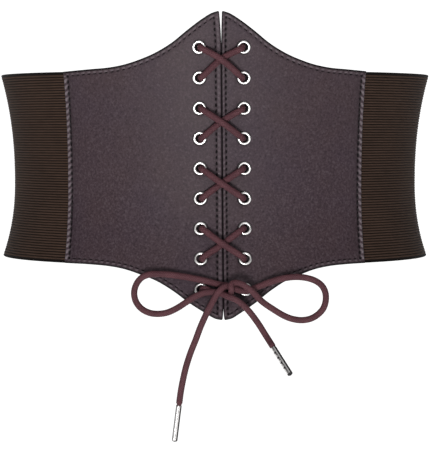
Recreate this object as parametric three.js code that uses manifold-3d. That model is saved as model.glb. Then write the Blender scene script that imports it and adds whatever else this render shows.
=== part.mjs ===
import * as THREE from 'three';
import { mergeVertices } from 'three/addons/utils/BufferGeometryUtils.js';
import Module from 'manifold-3d';

// A laced corset belt, worn round the waist. Millimetres, +Z up, the laced front faces -Y.
// The origin is the centre of the hollow, at the level where the waist is narrowest.

const manifold = await Module();
manifold.setup();

// The waist that the belt goes round, at its narrowest level
const WAIST_WIDTH = 278.4;
const WAIST_DEPTH = 198.4;

// The belt's sides, and how far they stand out from the waist at their edges
const SIDE_RISE = 73.3;
const SIDE_DROP = 52.5;
const TOP_FLARE = 9.3;
const BOTTOM_FLARE = 8.5;
const FLARE_BEND = 2.2;
const DEPTH_FLARE_SHARE = 0.8;

// The two points of the leather front, above and below the sides' edges
const TOP_PEAK = 37.7;
const BOTTOM_PEAK = 34.2;
const PEAK_REACH = { left: 102, right: 97 };
const PEAK_CORNER = 1.0;

// How much of each peak is left at a share of its reach away from the closure
const PEAK_SHAPE = [
  { away: 0.0, top: 1.0, bottom: 1.0 },
  { away: 0.05, top: 0.955, bottom: 0.965 },
  { away: 0.1, top: 0.875, bottom: 0.88 },
  { away: 0.2, top: 0.68, bottom: 0.69 },
  { away: 0.3, top: 0.467, bottom: 0.468 },
  { away: 0.4, top: 0.305, bottom: 0.29 },
  { away: 0.5, top: 0.19, bottom: 0.175 },
  { away: 0.6, top: 0.107, bottom: 0.08 },
  { away: 0.7, top: 0.06, bottom: 0.03 },
  { away: 0.8, top: 0.04, bottom: 0.01 },
  { away: 1.0, top: 0.0, bottom: 0.0 },
];

// The line where the two leather panels meet, a little to one side of the middle
const CLOSURE_OFFSET = 4.9;
const CLOSURE_LEAN = -0.008;
const CLOSURE_GAP = 0.5;
const TOP_GAPE = { left: 1.0, right: 0.25, depth: 22 };
const BOTTOM_GAPE = { left: 0.35, right: 0.35, depth: 8 };

// Walls, and the clearance that keeps two pieces apart where one lies on the other
const CLEARANCE = 0.3;
const LAP_CLEARANCE = 0.4;
const LEATHER = 1.8;
const ELASTIC = 1.5;
const SEAM_REACH = 95.4;
const SEAM_FLARE_SHARE = 0.25;
const SEAM_LAP = 12;
const BACK_JOINT_GAP = 1;
const STRIP_WIDTH = 44;
const STRIP_THICKNESS = 1.6;
const STRIP_INSET = 3;

// The lace and its metal ends
const LACE = 3.8;
const LACE_SIDES = 8;
const BEND_SLACK = 0.25;
const HUMP_SHOULDER = 0.8;
const AGLET = 3.6;
const AGLET_LENGTH = 23.5;
const AGLET_NOSE = 0.7;
const AGLET_SIDES = 10;

// Eyelets in two columns, one row below the other
const ROWS = 9;
const FIRST_ROW = 88.1;
const ROW_PITCH = 19.43;
const COLUMN_SPACING = 28.2;
const EYELET_FLANGE = 8.7;
const EYELET_BORE = 5.4;
const EYELET_WALL = 0.4;
const EYELET_DOME = 0.9;
const EYELET_ROLL = 8.2;
const EYELET_ROLL_THICKNESS = 0.6;
const EYELET_SIDES = 12;
const EYELET_CLEARANCE = 0.35;
const HOLE_SIDES = 8;

// Steps of the walls' faces, across and up, and how they crowd towards the closure and the edges
const PANEL_STEPS = [15, 16];
const ELASTIC_STEPS = [20, 8];
const STRIP_STEPS = [6, 8];
const CLOSURE_CROWDING = 1.6;
const EDGE_CROWDING = 0.6;

const PANEL_LIFT = ELASTIC + LAP_CLEARANCE;
const PANEL_FACE = PANEL_LIFT + LEATHER;

const LEATHER_FINISH = { color: 0x45393b, roughness: 0.55, metalness: 0 };
const ELASTIC_FINISH = { color: 0x382b22, roughness: 0.9, metalness: 0 };
const LACE_FINISH = { color: 0x663f42, roughness: 0.85, metalness: 0 };
const METAL_FINISH = { color: 0xd9d9d6, roughness: 0.2, metalness: 1 };

// Heights over a panel's face: of a lace that lies on it, of one that passes over that lace, and
// of the place where the held lace ends over its last two eyelets
const LACE_SEAT = CLEARANCE + LACE / 2;
const LACE_OVER = LACE_SEAT + LACE + CLEARANCE;
const LACE_EXIT = 0.2;

// How the lace bends over an eyelet's ring: distance from its axis, and height over the face there
function bendOver(ringThickness) {
  const height = EYELET_CLEARANCE + ringThickness + CLEARANCE + LACE / 2 + BEND_SLACK;
  return [
    { out: 0.15 * EYELET_BORE, height: 0.73 * height },
    { out: 0.6 * EYELET_BORE, height },
  ];
}

// The free end that comes out of the left eyelet: through the knot, up round its front,
// out as the right loop, and back behind the front turn as the left tail
const LEFT_END = [
  [-2.4, -116.7, -68.4],
  [3.5, -116.8, -69.6],
  [7.6, -117.3, -70.4],
  [9.8, -118.9, -70.4],
  [10.4, -120.9, -69.3],
  [10.4, -123.1, -67.8],
  [10.4, -125.1, -65.8],
  [10.6, -124.3, -63.2],
  [12.5, -122.6, -62.6],
  [15.9, -123.3, -64.1],
  [19.7, -123.9, -66.3],
  [23.2, -123.8, -68.6],
  [30.0, -122.7, -73.9],
  [37.0, -121.2, -79.0],
  [45.3, -119.8, -84.0],
  [51.0, -118.8, -86.0],
  [56.6, -117.8, -86.6],
  [62.0, -116.8, -85.6],
  [66.4, -115.8, -83.1],
  [69.8, -114.8, -79.4],
  [71.4, -113.8, -74.8],
  [71.3, -112.9, -69.6],
  [69.4, -112.2, -65.4],
  [65.6, -111.9, -62.2],
  [59.4, -111.9, -60.0],
  [51.2, -112.4, -59.3],
  [42.0, -113.5, -60.6],
  [33.5, -115.1, -63.1],
  [26.5, -117.0, -65.5],
  [21.0, -119.7, -67.3],
  [15.6, -120.3, -67.1],
  [10.4, -119.8, -64.9],
  [6.2, -123.0, -64.7],
  [2.2, -125.6, -68.1],
  [-0.9, -126.4, -73.2],
  [-3.7, -126.0, -78.6],
  [-6.5, -125.2, -84.4],
  [-9.5, -124.2, -91.5],
  [-12.2, -123.4, -98.9],
  [-15.5, -122.8, -107.3],
  [-18.4, -122.4, -116.5],
  [-20.5, -122.1, -125.7],
  [-21.9, -122.0, -133.5],
  [-22.8, -122.0, -140.7],
];

// The free end that comes out of the right eyelet: behind the knot to the left loop,
// and back over the foot of the front turn as the right tail
const RIGHT_END = [
  [13.0, -115.6, -65.6],
  [8.0, -115.2, -64.6],
  [3.0, -115.9, -63.8],
  [-3.0, -116.3, -62.2],
  [-9.5, -116.1, -60.7],
  [-16.2, -115.6, -59.4],
  [-23.0, -115.0, -58.4],
  [-29.5, -114.3, -57.6],
  [-36.0, -113.7, -57.3],
  [-41.8, -113.3, -57.6],
  [-46.8, -113.1, -59.6],
  [-50.2, -112.9, -63.6],
  [-51.8, -113.2, -69.2],
  [-50.7, -113.9, -74.9],
  [-47.3, -114.8, -79.3],
  [-42.2, -115.9, -82.0],
  [-36.7, -116.8, -82.7],
  [-30.6, -117.7, -81.8],
  [-24.8, -118.6, -79.2],
  [-18.6, -119.4, -75.2],
  [-12.2, -120.4, -71.8],
  [-5.2, -121.0, -69.8],
  [1.0, -120.8, -69.6],
  [5.2, -122.0, -70.8],
  [8.6, -124.9, -71.7],
  [12.0, -125.4, -72.0],
  [15.8, -124.1, -73.3],
  [19.6, -122.6, -76.4],
  [23.2, -122.2, -80.9],
  [27.6, -122.6, -87.9],
  [32.9, -124.1, -96.2],
  [36.9, -128.9, -102.4],
];

const peakShares = PEAK_SHAPE.map((row) => row.away);
const topPeak = new THREE.CubicInterpolant(peakShares, PEAK_SHAPE.map((row) => row.top), 1);
const bottomPeak = new THREE.CubicInterpolant(peakShares, PEAK_SHAPE.map((row) => row.bottom), 1);

// How far the belt stands out from the waist at a height: curved up to the sides' edges, then straight
function flare(z) {
  const [reach, spread] = z > 0 ? [SIDE_RISE, TOP_FLARE] : [SIDE_DROP, BOTTOM_FLARE];
  const share = Math.abs(z) / reach;
  return spread * (share <= 1 ? share ** FLARE_BEND : 1 + FLARE_BEND * (share - 1));
}

// The inner face's half width and half depth at a height
function halfWidth(z) {
  return WAIST_WIDTH / 2 + flare(z);
}

function halfDepth(z) {
  return WAIST_DEPTH / 2 + DEPTH_FLARE_SHARE * flare(z);
}

// A point at an angle round the body, from the front, and a lift out of the inner face
function aroundBody(angle, z, lift) {
  const [a, b] = [halfWidth(z), halfDepth(z)];
  const outward = new THREE.Vector3(Math.sin(angle) / a, -Math.cos(angle) / b, 0).normalize();
  return new THREE.Vector3(a * Math.sin(angle), -b * Math.cos(angle), z).addScaledVector(outward, lift);
}

// The angle of a point on the front half that lies x to the right of the middle
function frontAngle(x, z) {
  return Math.asin(x / halfWidth(z));
}

// How far to one side the closure lies, and where the leather's outer edges lie
function closureAt(z) {
  return CLOSURE_OFFSET + CLOSURE_LEAN * z;
}

function seamAt(z) {
  return SEAM_REACH + SEAM_FLARE_SHARE * flare(z);
}

// Heights of the leather's edges at a distance from the closure, with the peaks' corners rounded
function edgeHeight(flatHeight, peak, shape, away, reach) {
  const inCorner = Math.max(0, PEAK_CORNER - away);
  const rounding = PEAK_CORNER - Math.sqrt(PEAK_CORNER ** 2 - inCorner ** 2);
  const share = Math.min(1, away / reach);
  return flatHeight + peak * shape.evaluate(share)[0] - rounding;
}

function topEdge(away, reach) {
  return edgeHeight(SIDE_RISE, TOP_PEAK, topPeak, away, reach);
}

function bottomEdge(away, reach) {
  return -edgeHeight(SIDE_DROP, BOTTOM_PEAK, bottomPeak, away, reach);
}

// A panel's distance from the line of the closure, which grows towards both peaks
function gapBeside(side, z) {
  const word = side < 0 ? 'left' : 'right';
  const above = (z - SIDE_RISE - TOP_PEAK + TOP_GAPE.depth) / TOP_GAPE.depth;
  const below = (-z - SIDE_DROP - BOTTOM_PEAK + BOTTOM_GAPE.depth) / BOTTOM_GAPE.depth;
  const gape = TOP_GAPE[word] * Math.max(0, above) + BOTTOM_GAPE[word] * Math.max(0, below);
  return CLOSURE_GAP / 2 + gape;
}

// Shares that crowd together a little towards both ends
function crowdedEnds(share) {
  return THREE.MathUtils.lerp(share, (1 - Math.cos(Math.PI * share)) / 2, EDGE_CROWDING);
}

// A closed wall: place turns shares across, up and outwards into a point. side is -1 for the
// wearer's right, where the shares run the other way round the body.
function wall(side, [acrossSteps, upSteps], place) {
  const box = new THREE.BoxGeometry(1, 1, 1, acrossSteps, 1, upSteps);
  const points = box.attributes.position;
  for (let i = 0; i < points.count; i += 1) {
    const across = 0.5 + side * points.getX(i);
    const up = points.getZ(i) + 0.5;
    const outwards = 0.5 - points.getY(i);
    const { x, y, z } = place(across, up, outwards);
    points.setXYZ(i, x, y, z);
  }
  return welded(box);
}

function welded(geometry) {
  geometry.deleteAttribute('normal');
  geometry.deleteAttribute('uv');
  return mergeVertices(geometry, 1e-3);
}

function toSolid(geometry) {
  return new manifold.Manifold(new manifold.Mesh({
    numProp: 3,
    vertProperties: new Float32Array(geometry.attributes.position.array),
    triVerts: new Uint32Array(geometry.index.array),
  }));
}

function fromSolid(solid) {
  const mesh = solid.getMesh();
  const geometry = new THREE.BufferGeometry();
  geometry.setAttribute('position', new THREE.BufferAttribute(mesh.vertProperties, 3));
  geometry.setIndex(new THREE.BufferAttribute(mesh.triVerts, 1));
  return geometry;
}

// Where a point of the front lies on the panels' outer face, and the way out of that face there
function onPanel(x, z, height) {
  const point = aroundBody(frontAngle(x, z), z, PANEL_FACE);
  const nudge = 0.5;
  const along = aroundBody(frontAngle(x + nudge, z), z, PANEL_FACE).sub(point);
  const up = aroundBody(frontAngle(x, z + nudge), z + nudge, PANEL_FACE).sub(point);
  const normal = along.cross(up).normalize();
  return { point: point.addScaledVector(normal, height), normal };
}

function eyeletAt(side, row) {
  const z = FIRST_ROW - row * ROW_PITCH;
  return { x: closureAt(z) + side * COLUMN_SPACING / 2, z };
}

// One leather panel, with its eyelets' holes cut through it
function panelGeometry(side) {
  const reach = side < 0 ? PEAK_REACH.left : PEAK_REACH.right;
  const blank = wall(side, PANEL_STEPS, (across, up, outwards) => {
    const spread = across ** CLOSURE_CROWDING;
    const away = spread * (SEAM_REACH - side * CLOSURE_OFFSET);
    const bottom = bottomEdge(away, reach);
    const z = THREE.MathUtils.lerp(bottom, topEdge(away, reach), crowdedEnds(up));
    const inner = closureAt(z) + side * gapBeside(side, z);
    const x = THREE.MathUtils.lerp(inner, side * seamAt(z), spread);
    return aroundBody(frontAngle(x, z), z, PANEL_LIFT + outwards * LEATHER);
  });
  const holeRadius = (EYELET_BORE / 2 + EYELET_WALL + CLEARANCE) / Math.cos(Math.PI / HOLE_SIDES);
  let solid = toSolid(blank);
  for (let row = 0; row < ROWS; row += 1) {
    const cutter = new THREE.CylinderGeometry(holeRadius, holeRadius, 3 * LEATHER, HOLE_SIDES);
    const { x, z } = eyeletAt(side, row);
    cutter.applyMatrix4(seatMatrix(onPanel(x, z, -LEATHER / 2)));
    solid = solid.subtract(toSolid(welded(cutter)));
  }
  return fromSolid(solid);
}

// Turns a shape whose axis is Y so that it stands along a face's normal at a point
function seatMatrix({ point, normal }) {
  const turn = new THREE.Quaternion().setFromUnitVectors(new THREE.Vector3(0, 1, 0), normal);
  return new THREE.Matrix4().compose(point, turn, new THREE.Vector3(1, 1, 1));
}

// One elastic side, from under the leather to the middle of the back
function elasticGeometry(side) {
  return wall(side, ELASTIC_STEPS, (across, up, outwards) => {
    const z = THREE.MathUtils.lerp(-SIDE_DROP, SIDE_RISE, up);
    const start = frontAngle(seamAt(z) - SEAM_LAP, z);
    const end = Math.PI - Math.asin(BACK_JOINT_GAP / 2 / halfWidth(z));
    return aroundBody(side * THREE.MathUtils.lerp(start, end, across), z, outwards * ELASTIC);
  });
}

// The strip that covers the back joint, where the belt is closed
function stripGeometry() {
  return wall(1, STRIP_STEPS, (across, up, outwards) => {
    const z = THREE.MathUtils.lerp(STRIP_INSET - SIDE_DROP, SIDE_RISE - STRIP_INSET, up);
    const reach = Math.asin(STRIP_WIDTH / 2 / halfWidth(z));
    const angle = Math.PI + reach * (2 * across - 1);
    return aroundBody(angle, z, ELASTIC + CLEARANCE + outwards * STRIP_THICKNESS);
  });
}

// A rolled eyelet, its axis along Y and its origin on the leather's outer face
function eyeletGeometry() {
  const bore = EYELET_BORE / 2;
  const barrel = bore + EYELET_WALL;
  const flange = EYELET_FLANGE / 2;
  const roll = EYELET_ROLL / 2;
  const seat = EYELET_CLEARANCE;
  const backSeat = -LEATHER - EYELET_CLEARANCE;
  const profile = [
    [bore, backSeat - EYELET_ROLL_THICKNESS],
    [roll, backSeat],
    [barrel, backSeat],
    [barrel, seat],
    [flange, seat],
    [(flange + bore) / 2, seat + EYELET_DOME],
    [bore, seat + EYELET_DOME / 2],
  ];
  const points = [...profile, profile[0]].map(([x, y]) => new THREE.Vector2(x, y));
  return welded(new THREE.LatheGeometry(points, EYELET_SIDES));
}

// A curve whose steps fall on the points that it is given
class StationedCurve extends THREE.CatmullRomCurve3 {
  getUtoTmapping(share) {
    return share;
  }
}

// A tube of lace through a list of points
function laceGeometry(points) {
  const section = new THREE.Shape();
  for (let i = 0; i < LACE_SIDES; i += 1) {
    const angle = (2 * Math.PI * i) / LACE_SIDES;
    const corner = [LACE / 2 * Math.cos(angle), LACE / 2 * Math.sin(angle)];
    if (i === 0) {
      section.moveTo(...corner);
    } else {
      section.lineTo(...corner);
    }
  }
  const path = new StationedCurve(points, false, 'centripetal');
  return welded(new THREE.ExtrudeGeometry(section, { steps: points.length - 1, extrudePath: path }));
}

// The lace's run from one eyelet to the next, in front of the panels or behind them
function laceRun(from, to, face, over) {
  const length = Math.hypot(to.x - from.x, to.z - from.z);
  const bend = bendOver(face > 0 ? EYELET_DOME : EYELET_ROLL_THICKNESS);
  const rise = over ? LACE_OVER : LACE_SEAT;
  const shoulder = THREE.MathUtils.lerp(LACE_SEAT, rise, HUMP_SHOULDER);
  const middle = [{ out: length / 2, height: rise }];
  if (over) {
    middle.unshift({ out: length / 2 - LACE, height: shoulder });
    middle.push({ out: length / 2 + LACE, height: shoulder });
  }
  const ending = [...bend].reverse().map(({ out, height }) => ({ out: length - out, height }));
  return [...bend, ...middle, ...ending].map(({ out, height }) => {
    const share = out / length;
    const x = THREE.MathUtils.lerp(from.x, to.x, share);
    const z = THREE.MathUtils.lerp(from.z, to.z, share);
    return onPanel(x, z, face > 0 ? height : -LEATHER - height).point;
  });
}

// The whole held stretch: up one strand from the lowest row, behind the top row, and down the other
function lacingPoints() {
  const stops = [];
  for (let row = ROWS - 1; row >= 0; row -= 1) {
    stops.push(eyeletAt(row % 2 === 0 ? -1 : 1, row));
  }
  for (let row = 0; row < ROWS; row += 1) {
    stops.push(eyeletAt(row % 2 === 0 ? 1 : -1, row));
  }
  const points = [onPanel(stops[0].x, stops[0].z, LACE_EXIT).point];
  stops.forEach((stop, i) => {
    points.push(onPanel(stop.x, stop.z, -LEATHER / 2).point);
    if (i < stops.length - 1) {
      const face = i % 2 === 0 ? -1 : 1;
      points.push(...laceRun(stop, stops[i + 1], face, i < ROWS - 1));
    }
  });
  const last = stops[stops.length - 1];
  points.push(onPanel(last.x, last.z, LACE_EXIT).point);
  return points;
}

// A free end starts over its eyelet, a clearance past the held lace's end
function freeEndPoints(side, route) {
  const from = eyeletAt(side, ROWS - 1);
  const points = route.map((place) => new THREE.Vector3(...place));
  const length = Math.hypot(points[0].x - from.x, points[0].z - from.z);
  const start = LACE_EXIT + CLEARANCE;
  const straight = [{ out: 0, height: start }, { out: 0, height: start + LACE / 8 }];
  const exit = [...straight, ...bendOver(EYELET_DOME)].map(({ out, height }) => {
    const share = out / length;
    const x = THREE.MathUtils.lerp(from.x, points[0].x, share);
    const z = THREE.MathUtils.lerp(from.z, points[0].z, share);
    return onPanel(x, z, height).point;
  });
  return [...exit, ...points];
}

// A plain metal end, its axis along Y and the lace's side at the origin
function agletGeometry() {
  const radius = AGLET / 2;
  const profile = [
    [0, 0],
    [radius - AGLET_NOSE / 2, 0],
    [radius, AGLET_NOSE],
    [radius, AGLET_LENGTH - AGLET_NOSE],
    [radius - AGLET_NOSE, AGLET_LENGTH],
    [0, AGLET_LENGTH],
  ];
  const points = profile.map(([x, y]) => new THREE.Vector2(x, y));
  return welded(new THREE.LatheGeometry(points, AGLET_SIDES));
}

function named(name, geometry, finish) {
  const mesh = new THREE.Mesh(geometry, new THREE.MeshStandardMaterial(finish));
  mesh.name = name;
  return mesh;
}

// Adds a metal end that carries on from a free end of the lace
function addAglet(group, name, points) {
  const [before, end] = points.slice(-2);
  const direction = end.clone().sub(before).normalize();
  const aglet = named(name, agletGeometry(), METAL_FINISH);
  aglet.position.copy(end).addScaledVector(direction, CLEARANCE);
  aglet.quaternion.setFromUnitVectors(new THREE.Vector3(0, 1, 0), direction);
  group.add(aglet);
}

function buildBelt() {
  const belt = new THREE.Group();
  const sides = [{ word: 'left', side: -1, route: LEFT_END }, { word: 'right', side: 1, route: RIGHT_END }];
  for (const { word, side, route } of sides) {
    belt.add(named(`panel_${word}`, panelGeometry(side), LEATHER_FINISH));
    belt.add(named(`elastic_${word}`, elasticGeometry(side), ELASTIC_FINISH));
    for (let row = 0; row < ROWS; row += 1) {
      const eyelet = named(`eyelet_${word}_${row + 1}`, eyeletGeometry(), METAL_FINISH);
      const { x, z } = eyeletAt(side, row);
      eyelet.applyMatrix4(seatMatrix(onPanel(x, z, 0)));
      belt.add(eyelet);
    }
    const points = freeEndPoints(side, route);
    belt.add(named(`lace_end_${word}`, laceGeometry(points), LACE_FINISH));
  }
  addAglet(belt, 'aglet_left', freeEndPoints(-1, LEFT_END));
  addAglet(belt, 'aglet_right', freeEndPoints(1, RIGHT_END));
  belt.add(named('back_closure', stripGeometry(), LEATHER_FINISH));
  belt.add(named('lacing', laceGeometry(lacingPoints()), LACE_FINISH));
  return belt;
}

export default buildBelt();
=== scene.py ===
"""Dresses a laced corset belt for a studio picture.

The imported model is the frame. Each class below builds one sub-assembly of the belt over it, with
its stitches, ribs, rolled rings and braided lace. Sizes are in millimetres, in the frame's own
axes, and become metres when a mesh is made: +Z up, the laced front faces -Y, and the origin is
the centre of the hollow at the level where the waist is narrowest.
"""

from __future__ import annotations

import logging
import math
from dataclasses import dataclass, field
from enum import Enum
from typing import Any, NamedTuple, Sequence

import bpy  # noqa: E402
import numpy as np  # noqa: E402
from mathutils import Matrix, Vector  # noqa: E402

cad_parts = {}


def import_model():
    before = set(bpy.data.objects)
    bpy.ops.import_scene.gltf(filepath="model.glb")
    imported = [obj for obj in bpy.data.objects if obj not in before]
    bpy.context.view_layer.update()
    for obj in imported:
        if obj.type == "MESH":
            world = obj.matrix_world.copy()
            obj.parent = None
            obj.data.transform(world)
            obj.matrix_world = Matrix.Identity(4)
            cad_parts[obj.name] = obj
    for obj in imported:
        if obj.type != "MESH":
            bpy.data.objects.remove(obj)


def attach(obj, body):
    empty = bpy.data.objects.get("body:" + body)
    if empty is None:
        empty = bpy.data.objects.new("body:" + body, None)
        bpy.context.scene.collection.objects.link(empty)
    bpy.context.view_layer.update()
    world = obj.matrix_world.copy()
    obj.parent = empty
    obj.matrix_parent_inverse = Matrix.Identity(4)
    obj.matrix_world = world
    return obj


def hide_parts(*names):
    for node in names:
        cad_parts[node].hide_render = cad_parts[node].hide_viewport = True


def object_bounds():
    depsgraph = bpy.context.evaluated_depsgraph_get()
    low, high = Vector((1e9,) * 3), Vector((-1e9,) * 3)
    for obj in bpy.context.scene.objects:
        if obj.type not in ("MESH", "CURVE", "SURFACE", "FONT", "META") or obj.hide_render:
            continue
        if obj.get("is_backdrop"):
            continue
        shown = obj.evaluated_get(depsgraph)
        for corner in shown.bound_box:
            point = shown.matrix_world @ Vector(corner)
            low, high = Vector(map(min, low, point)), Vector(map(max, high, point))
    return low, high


LOG = logging.getLogger("corset_belt")
MM = 0.001
TURN = 2 * math.pi
BODY = "root"

Array = np.ndarray
Colour = tuple[float, float, float]


def smoothstep(low: float, high: float, value: Array) -> Array:
    """Rises smoothly from 0 at low to 1 at high."""
    share = np.clip((value - low) / (high - low), 0, 1)
    return share * share * (3 - 2 * share)


def ridge(off: Array, width: float, power: int = 2) -> Array:
    """1 on a line, falling to 0 over about a width on both sides of it."""
    return np.exp(-((off / width) ** power))


def rounded_off(distance: Array, radius: float) -> Array:
    """How far a rounded edge falls back at a distance from it."""
    left = radius - np.minimum(distance, radius)
    return radius - np.sqrt(radius**2 - left**2)


def unit(vectors: Array) -> Array:
    """The vectors, each made one long."""
    return vectors / np.linalg.norm(vectors, axis=-1, keepdims=True)


def smooth_lookup(xs: Array, ys: Array, at: Array) -> Array:
    """Reads a table along a smooth curve.

    Args:
        xs: The table's first column, rising.
        ys: The column that is read.
        at: Where it is read.

    Returns:
        The column's values there, on a cubic curve through the table's rows.
    """
    slopes = np.gradient(ys, xs)
    row = np.clip(np.searchsorted(xs, at, side="right") - 1, 0, len(xs) - 2)
    step = xs[row + 1] - xs[row]
    share = (at - xs[row]) / step
    ends = (1 + 2 * share) * (1 - share) ** 2 * ys[row] + share**2 * (3 - 2 * share) * ys[row + 1]
    bends = share * (1 - share) ** 2 * slopes[row] + share**2 * (share - 1) * slopes[row + 1]
    return ends + step * bends


def evenly_spaced(line: Array, step: float) -> Array:
    """The line again, with its points about a step apart."""
    along = arc_lengths(line)
    at = np.linspace(0, along[-1], max(2, round(along[-1] / step) + 1))
    return np.stack([np.interp(at, along, line[:, axis]) for axis in range(3)], axis=1)


def arc_lengths(line: Array) -> Array:
    """How far along the line each of its points is."""
    return np.concatenate([[0], np.cumsum(np.linalg.norm(np.diff(line, axis=0), axis=1))])


def smooth_path(stations: Array, step: float) -> Array:
    """A smooth line through stations.

    Args:
        stations: The points that the line goes through.
        step: The distance between the line's own points.

    Returns:
        The points of a centripetal Catmull-Rom curve, a step apart.
    """
    samples = 14
    before = 2 * stations[0] - stations[1]
    after = 2 * stations[-1] - stations[-2]
    padded = np.vstack([before, stations, after])
    gaps = np.sqrt(np.linalg.norm(np.diff(padded, axis=0), axis=1))[:, None]
    share = np.linspace(0, 1, samples, endpoint=False)[:, None]
    pieces = []
    for i in range(1, len(padded) - 2):
        p0, p1, p2, p3 = padded[i - 1 : i + 3]
        g0, g1, g2 = gaps[i - 1 : i + 2]
        leave = g1 * ((p1 - p0) / g0 - (p2 - p0) / (g0 + g1) + (p2 - p1) / g1)
        arrive = g1 * ((p2 - p1) / g1 - (p3 - p1) / (g1 + g2) + (p3 - p2) / g2)
        ends = (1 + 2 * share) * (1 - share) ** 2 * p1 + share**2 * (3 - 2 * share) * p2
        bends = share * (1 - share) ** 2 * leave + share**2 * (share - 1) * arrive
        pieces.append(ends + bends)
    return evenly_spaced(np.vstack([*pieces, stations[-1]]), step)


class Side(Enum):
    """A half of the belt, as the picture shows it."""

    LEFT = -1
    RIGHT = 1

    @property
    def word(self) -> str:
        """The side's name as the pieces' names have it."""
        return self.name.lower()


# Node trees


class NodeCanvas:
    """A node tree under construction, for a material or for geometry."""

    def __init__(self, tree: bpy.types.NodeTree) -> None:
        """Takes an empty tree."""
        self.tree = tree

    def node(
        self,
        kind: str,
        settings: dict[str, Any] | None = None,
        inputs: dict[int | str, Any] | None = None,
    ) -> bpy.types.Node:
        """Adds one node.

        Args:
            kind: The node's type.
            settings: Its own settings, and a ramp's stops as pairs of place and grey or colour.
            inputs: A value, a socket or a Value for each of its sockets, by name or number.

        Returns:
            The node.
        """
        made = self.tree.nodes.new(kind)
        for key, value in (settings or {}).items():
            if key == "stops":
                self._set_stops(made.color_ramp, value)
            else:
                setattr(made, key, value)
        for key, value in (inputs or {}).items():
            source = value.socket if isinstance(value, Value) else value
            if isinstance(source, bpy.types.NodeSocket):
                self.tree.links.new(source, made.inputs[key])
            else:
                made.inputs[key].default_value = source
        return made

    def value(
        self,
        kind: str,
        output: int | str,
        settings: dict[str, Any] | None = None,
        inputs: dict[int | str, Any] | None = None,
    ) -> Value:
        """Adds one node and returns one of its outputs as a Value."""
        return Value(self, self.node(kind, settings, inputs).outputs[output])

    def mix(self, factor: Any, first: Any, second: Any) -> Value:
        """A colour between two colours."""
        shown = [(*c, 1.0) if isinstance(c, tuple) else c for c in (first, second)]
        settings = {"data_type": "RGBA", "clamp_factor": True}
        return self.value("ShaderNodeMix", 2, settings, {0: factor, 6: shown[0], 7: shown[1]})

    @staticmethod
    def _set_stops(ramp: bpy.types.ColorRamp, stops: Sequence[tuple[float, Colour]]) -> None:
        """Gives a ramp its stops."""
        while len(ramp.elements) < len(stops):
            ramp.elements.new(1.0)
        for element, (place, colour) in zip(ramp.elements, stops):
            element.position = place
            element.color = (*colour, 1.0)


class Value:
    """A socket that takes part in Python sums, which add Math nodes to its tree."""

    def __init__(self, canvas: NodeCanvas, socket: bpy.types.NodeSocket) -> None:
        """Wraps a node's output."""
        self.canvas = canvas
        self.socket = socket

    def _math(self, operation: str, *terms: Any) -> Value:
        """One Math node."""
        return self.canvas.value(
            "ShaderNodeMath", 0, {"operation": operation}, dict(enumerate(terms))
        )

    def __add__(self, other: Any) -> Value:
        """self + other."""
        return self._math("ADD", self, other)

    __radd__ = __add__

    def __sub__(self, other: Any) -> Value:
        """self - other."""
        return self._math("SUBTRACT", self, other)

    def __rsub__(self, other: Any) -> Value:
        """other - self."""
        return self._math("SUBTRACT", other, self)

    def __mul__(self, other: Any) -> Value:
        """self * other."""
        return self._math("MULTIPLY", self, other)

    __rmul__ = __mul__

    def __truediv__(self, other: Any) -> Value:
        """self / other."""
        return self._math("DIVIDE", self, other)

    def __pow__(self, other: Any) -> Value:
        """self ** other."""
        return self._math("POWER", self, other)

    def fraction(self) -> Value:
        """What is left over a whole number."""
        return self._math("FRACT", self)

    def whole(self) -> Value:
        """The whole number below."""
        return self._math("FLOOR", self)

    def sine(self) -> Value:
        """The sine of an angle in radians."""
        return self._math("SINE", self)

    def size(self) -> Value:
        """The value without its sign."""
        return self._math("ABSOLUTE", self)


class MaterialCanvas(NodeCanvas):
    """The nodes of one material."""

    def __init__(self, name: str) -> None:
        """Makes an empty material."""
        self.material = bpy.data.materials.new(name)
        self.material.use_nodes = True
        self.material.node_tree.nodes.clear()
        super().__init__(self.material.node_tree)

    def place(self) -> Value:
        """Where a point is on the belt, in metres."""
        return self.value("ShaderNodeTexCoord", "Object")

    def stretched(self, vector: Value, scale: Colour) -> Value:
        """The vector with each axis scaled."""
        settings = {"operation": "MULTIPLY"}
        return self.value("ShaderNodeVectorMath", 0, settings, {0: vector, 1: scale})

    def noise(self, vector: Value, scale: float, detail: float = 2, rough: float = 0.5) -> Value:
        """Noise of a scale per metre."""
        inputs = {"Vector": vector, "Scale": scale, "Detail": detail, "Roughness": rough}
        return self.value("ShaderNodeTexNoise", "Fac", None, inputs)

    def painted(self, name: str) -> Value:
        """A number that a piece's mesh carries."""
        return self.value("ShaderNodeAttribute", "Fac", {"attribute_name": name})

    def bump(self, height: Value, depth: float, strength: float = 1.0) -> Value:
        """A normal with a relief of that depth in metres."""
        inputs = {"Height": height, "Distance": depth, "Strength": strength}
        return self.value("ShaderNodeBump", "Normal", None, inputs)

    def finish(self, inputs: dict[str, Any]) -> bpy.types.Material:
        """Ends the material in a surface with these inputs."""
        surface = self.node("ShaderNodeBsdfPrincipled", None, inputs)
        self.node("ShaderNodeOutputMaterial", None, {"Surface": surface.outputs[0]})
        return self.material


# Finishes


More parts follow.
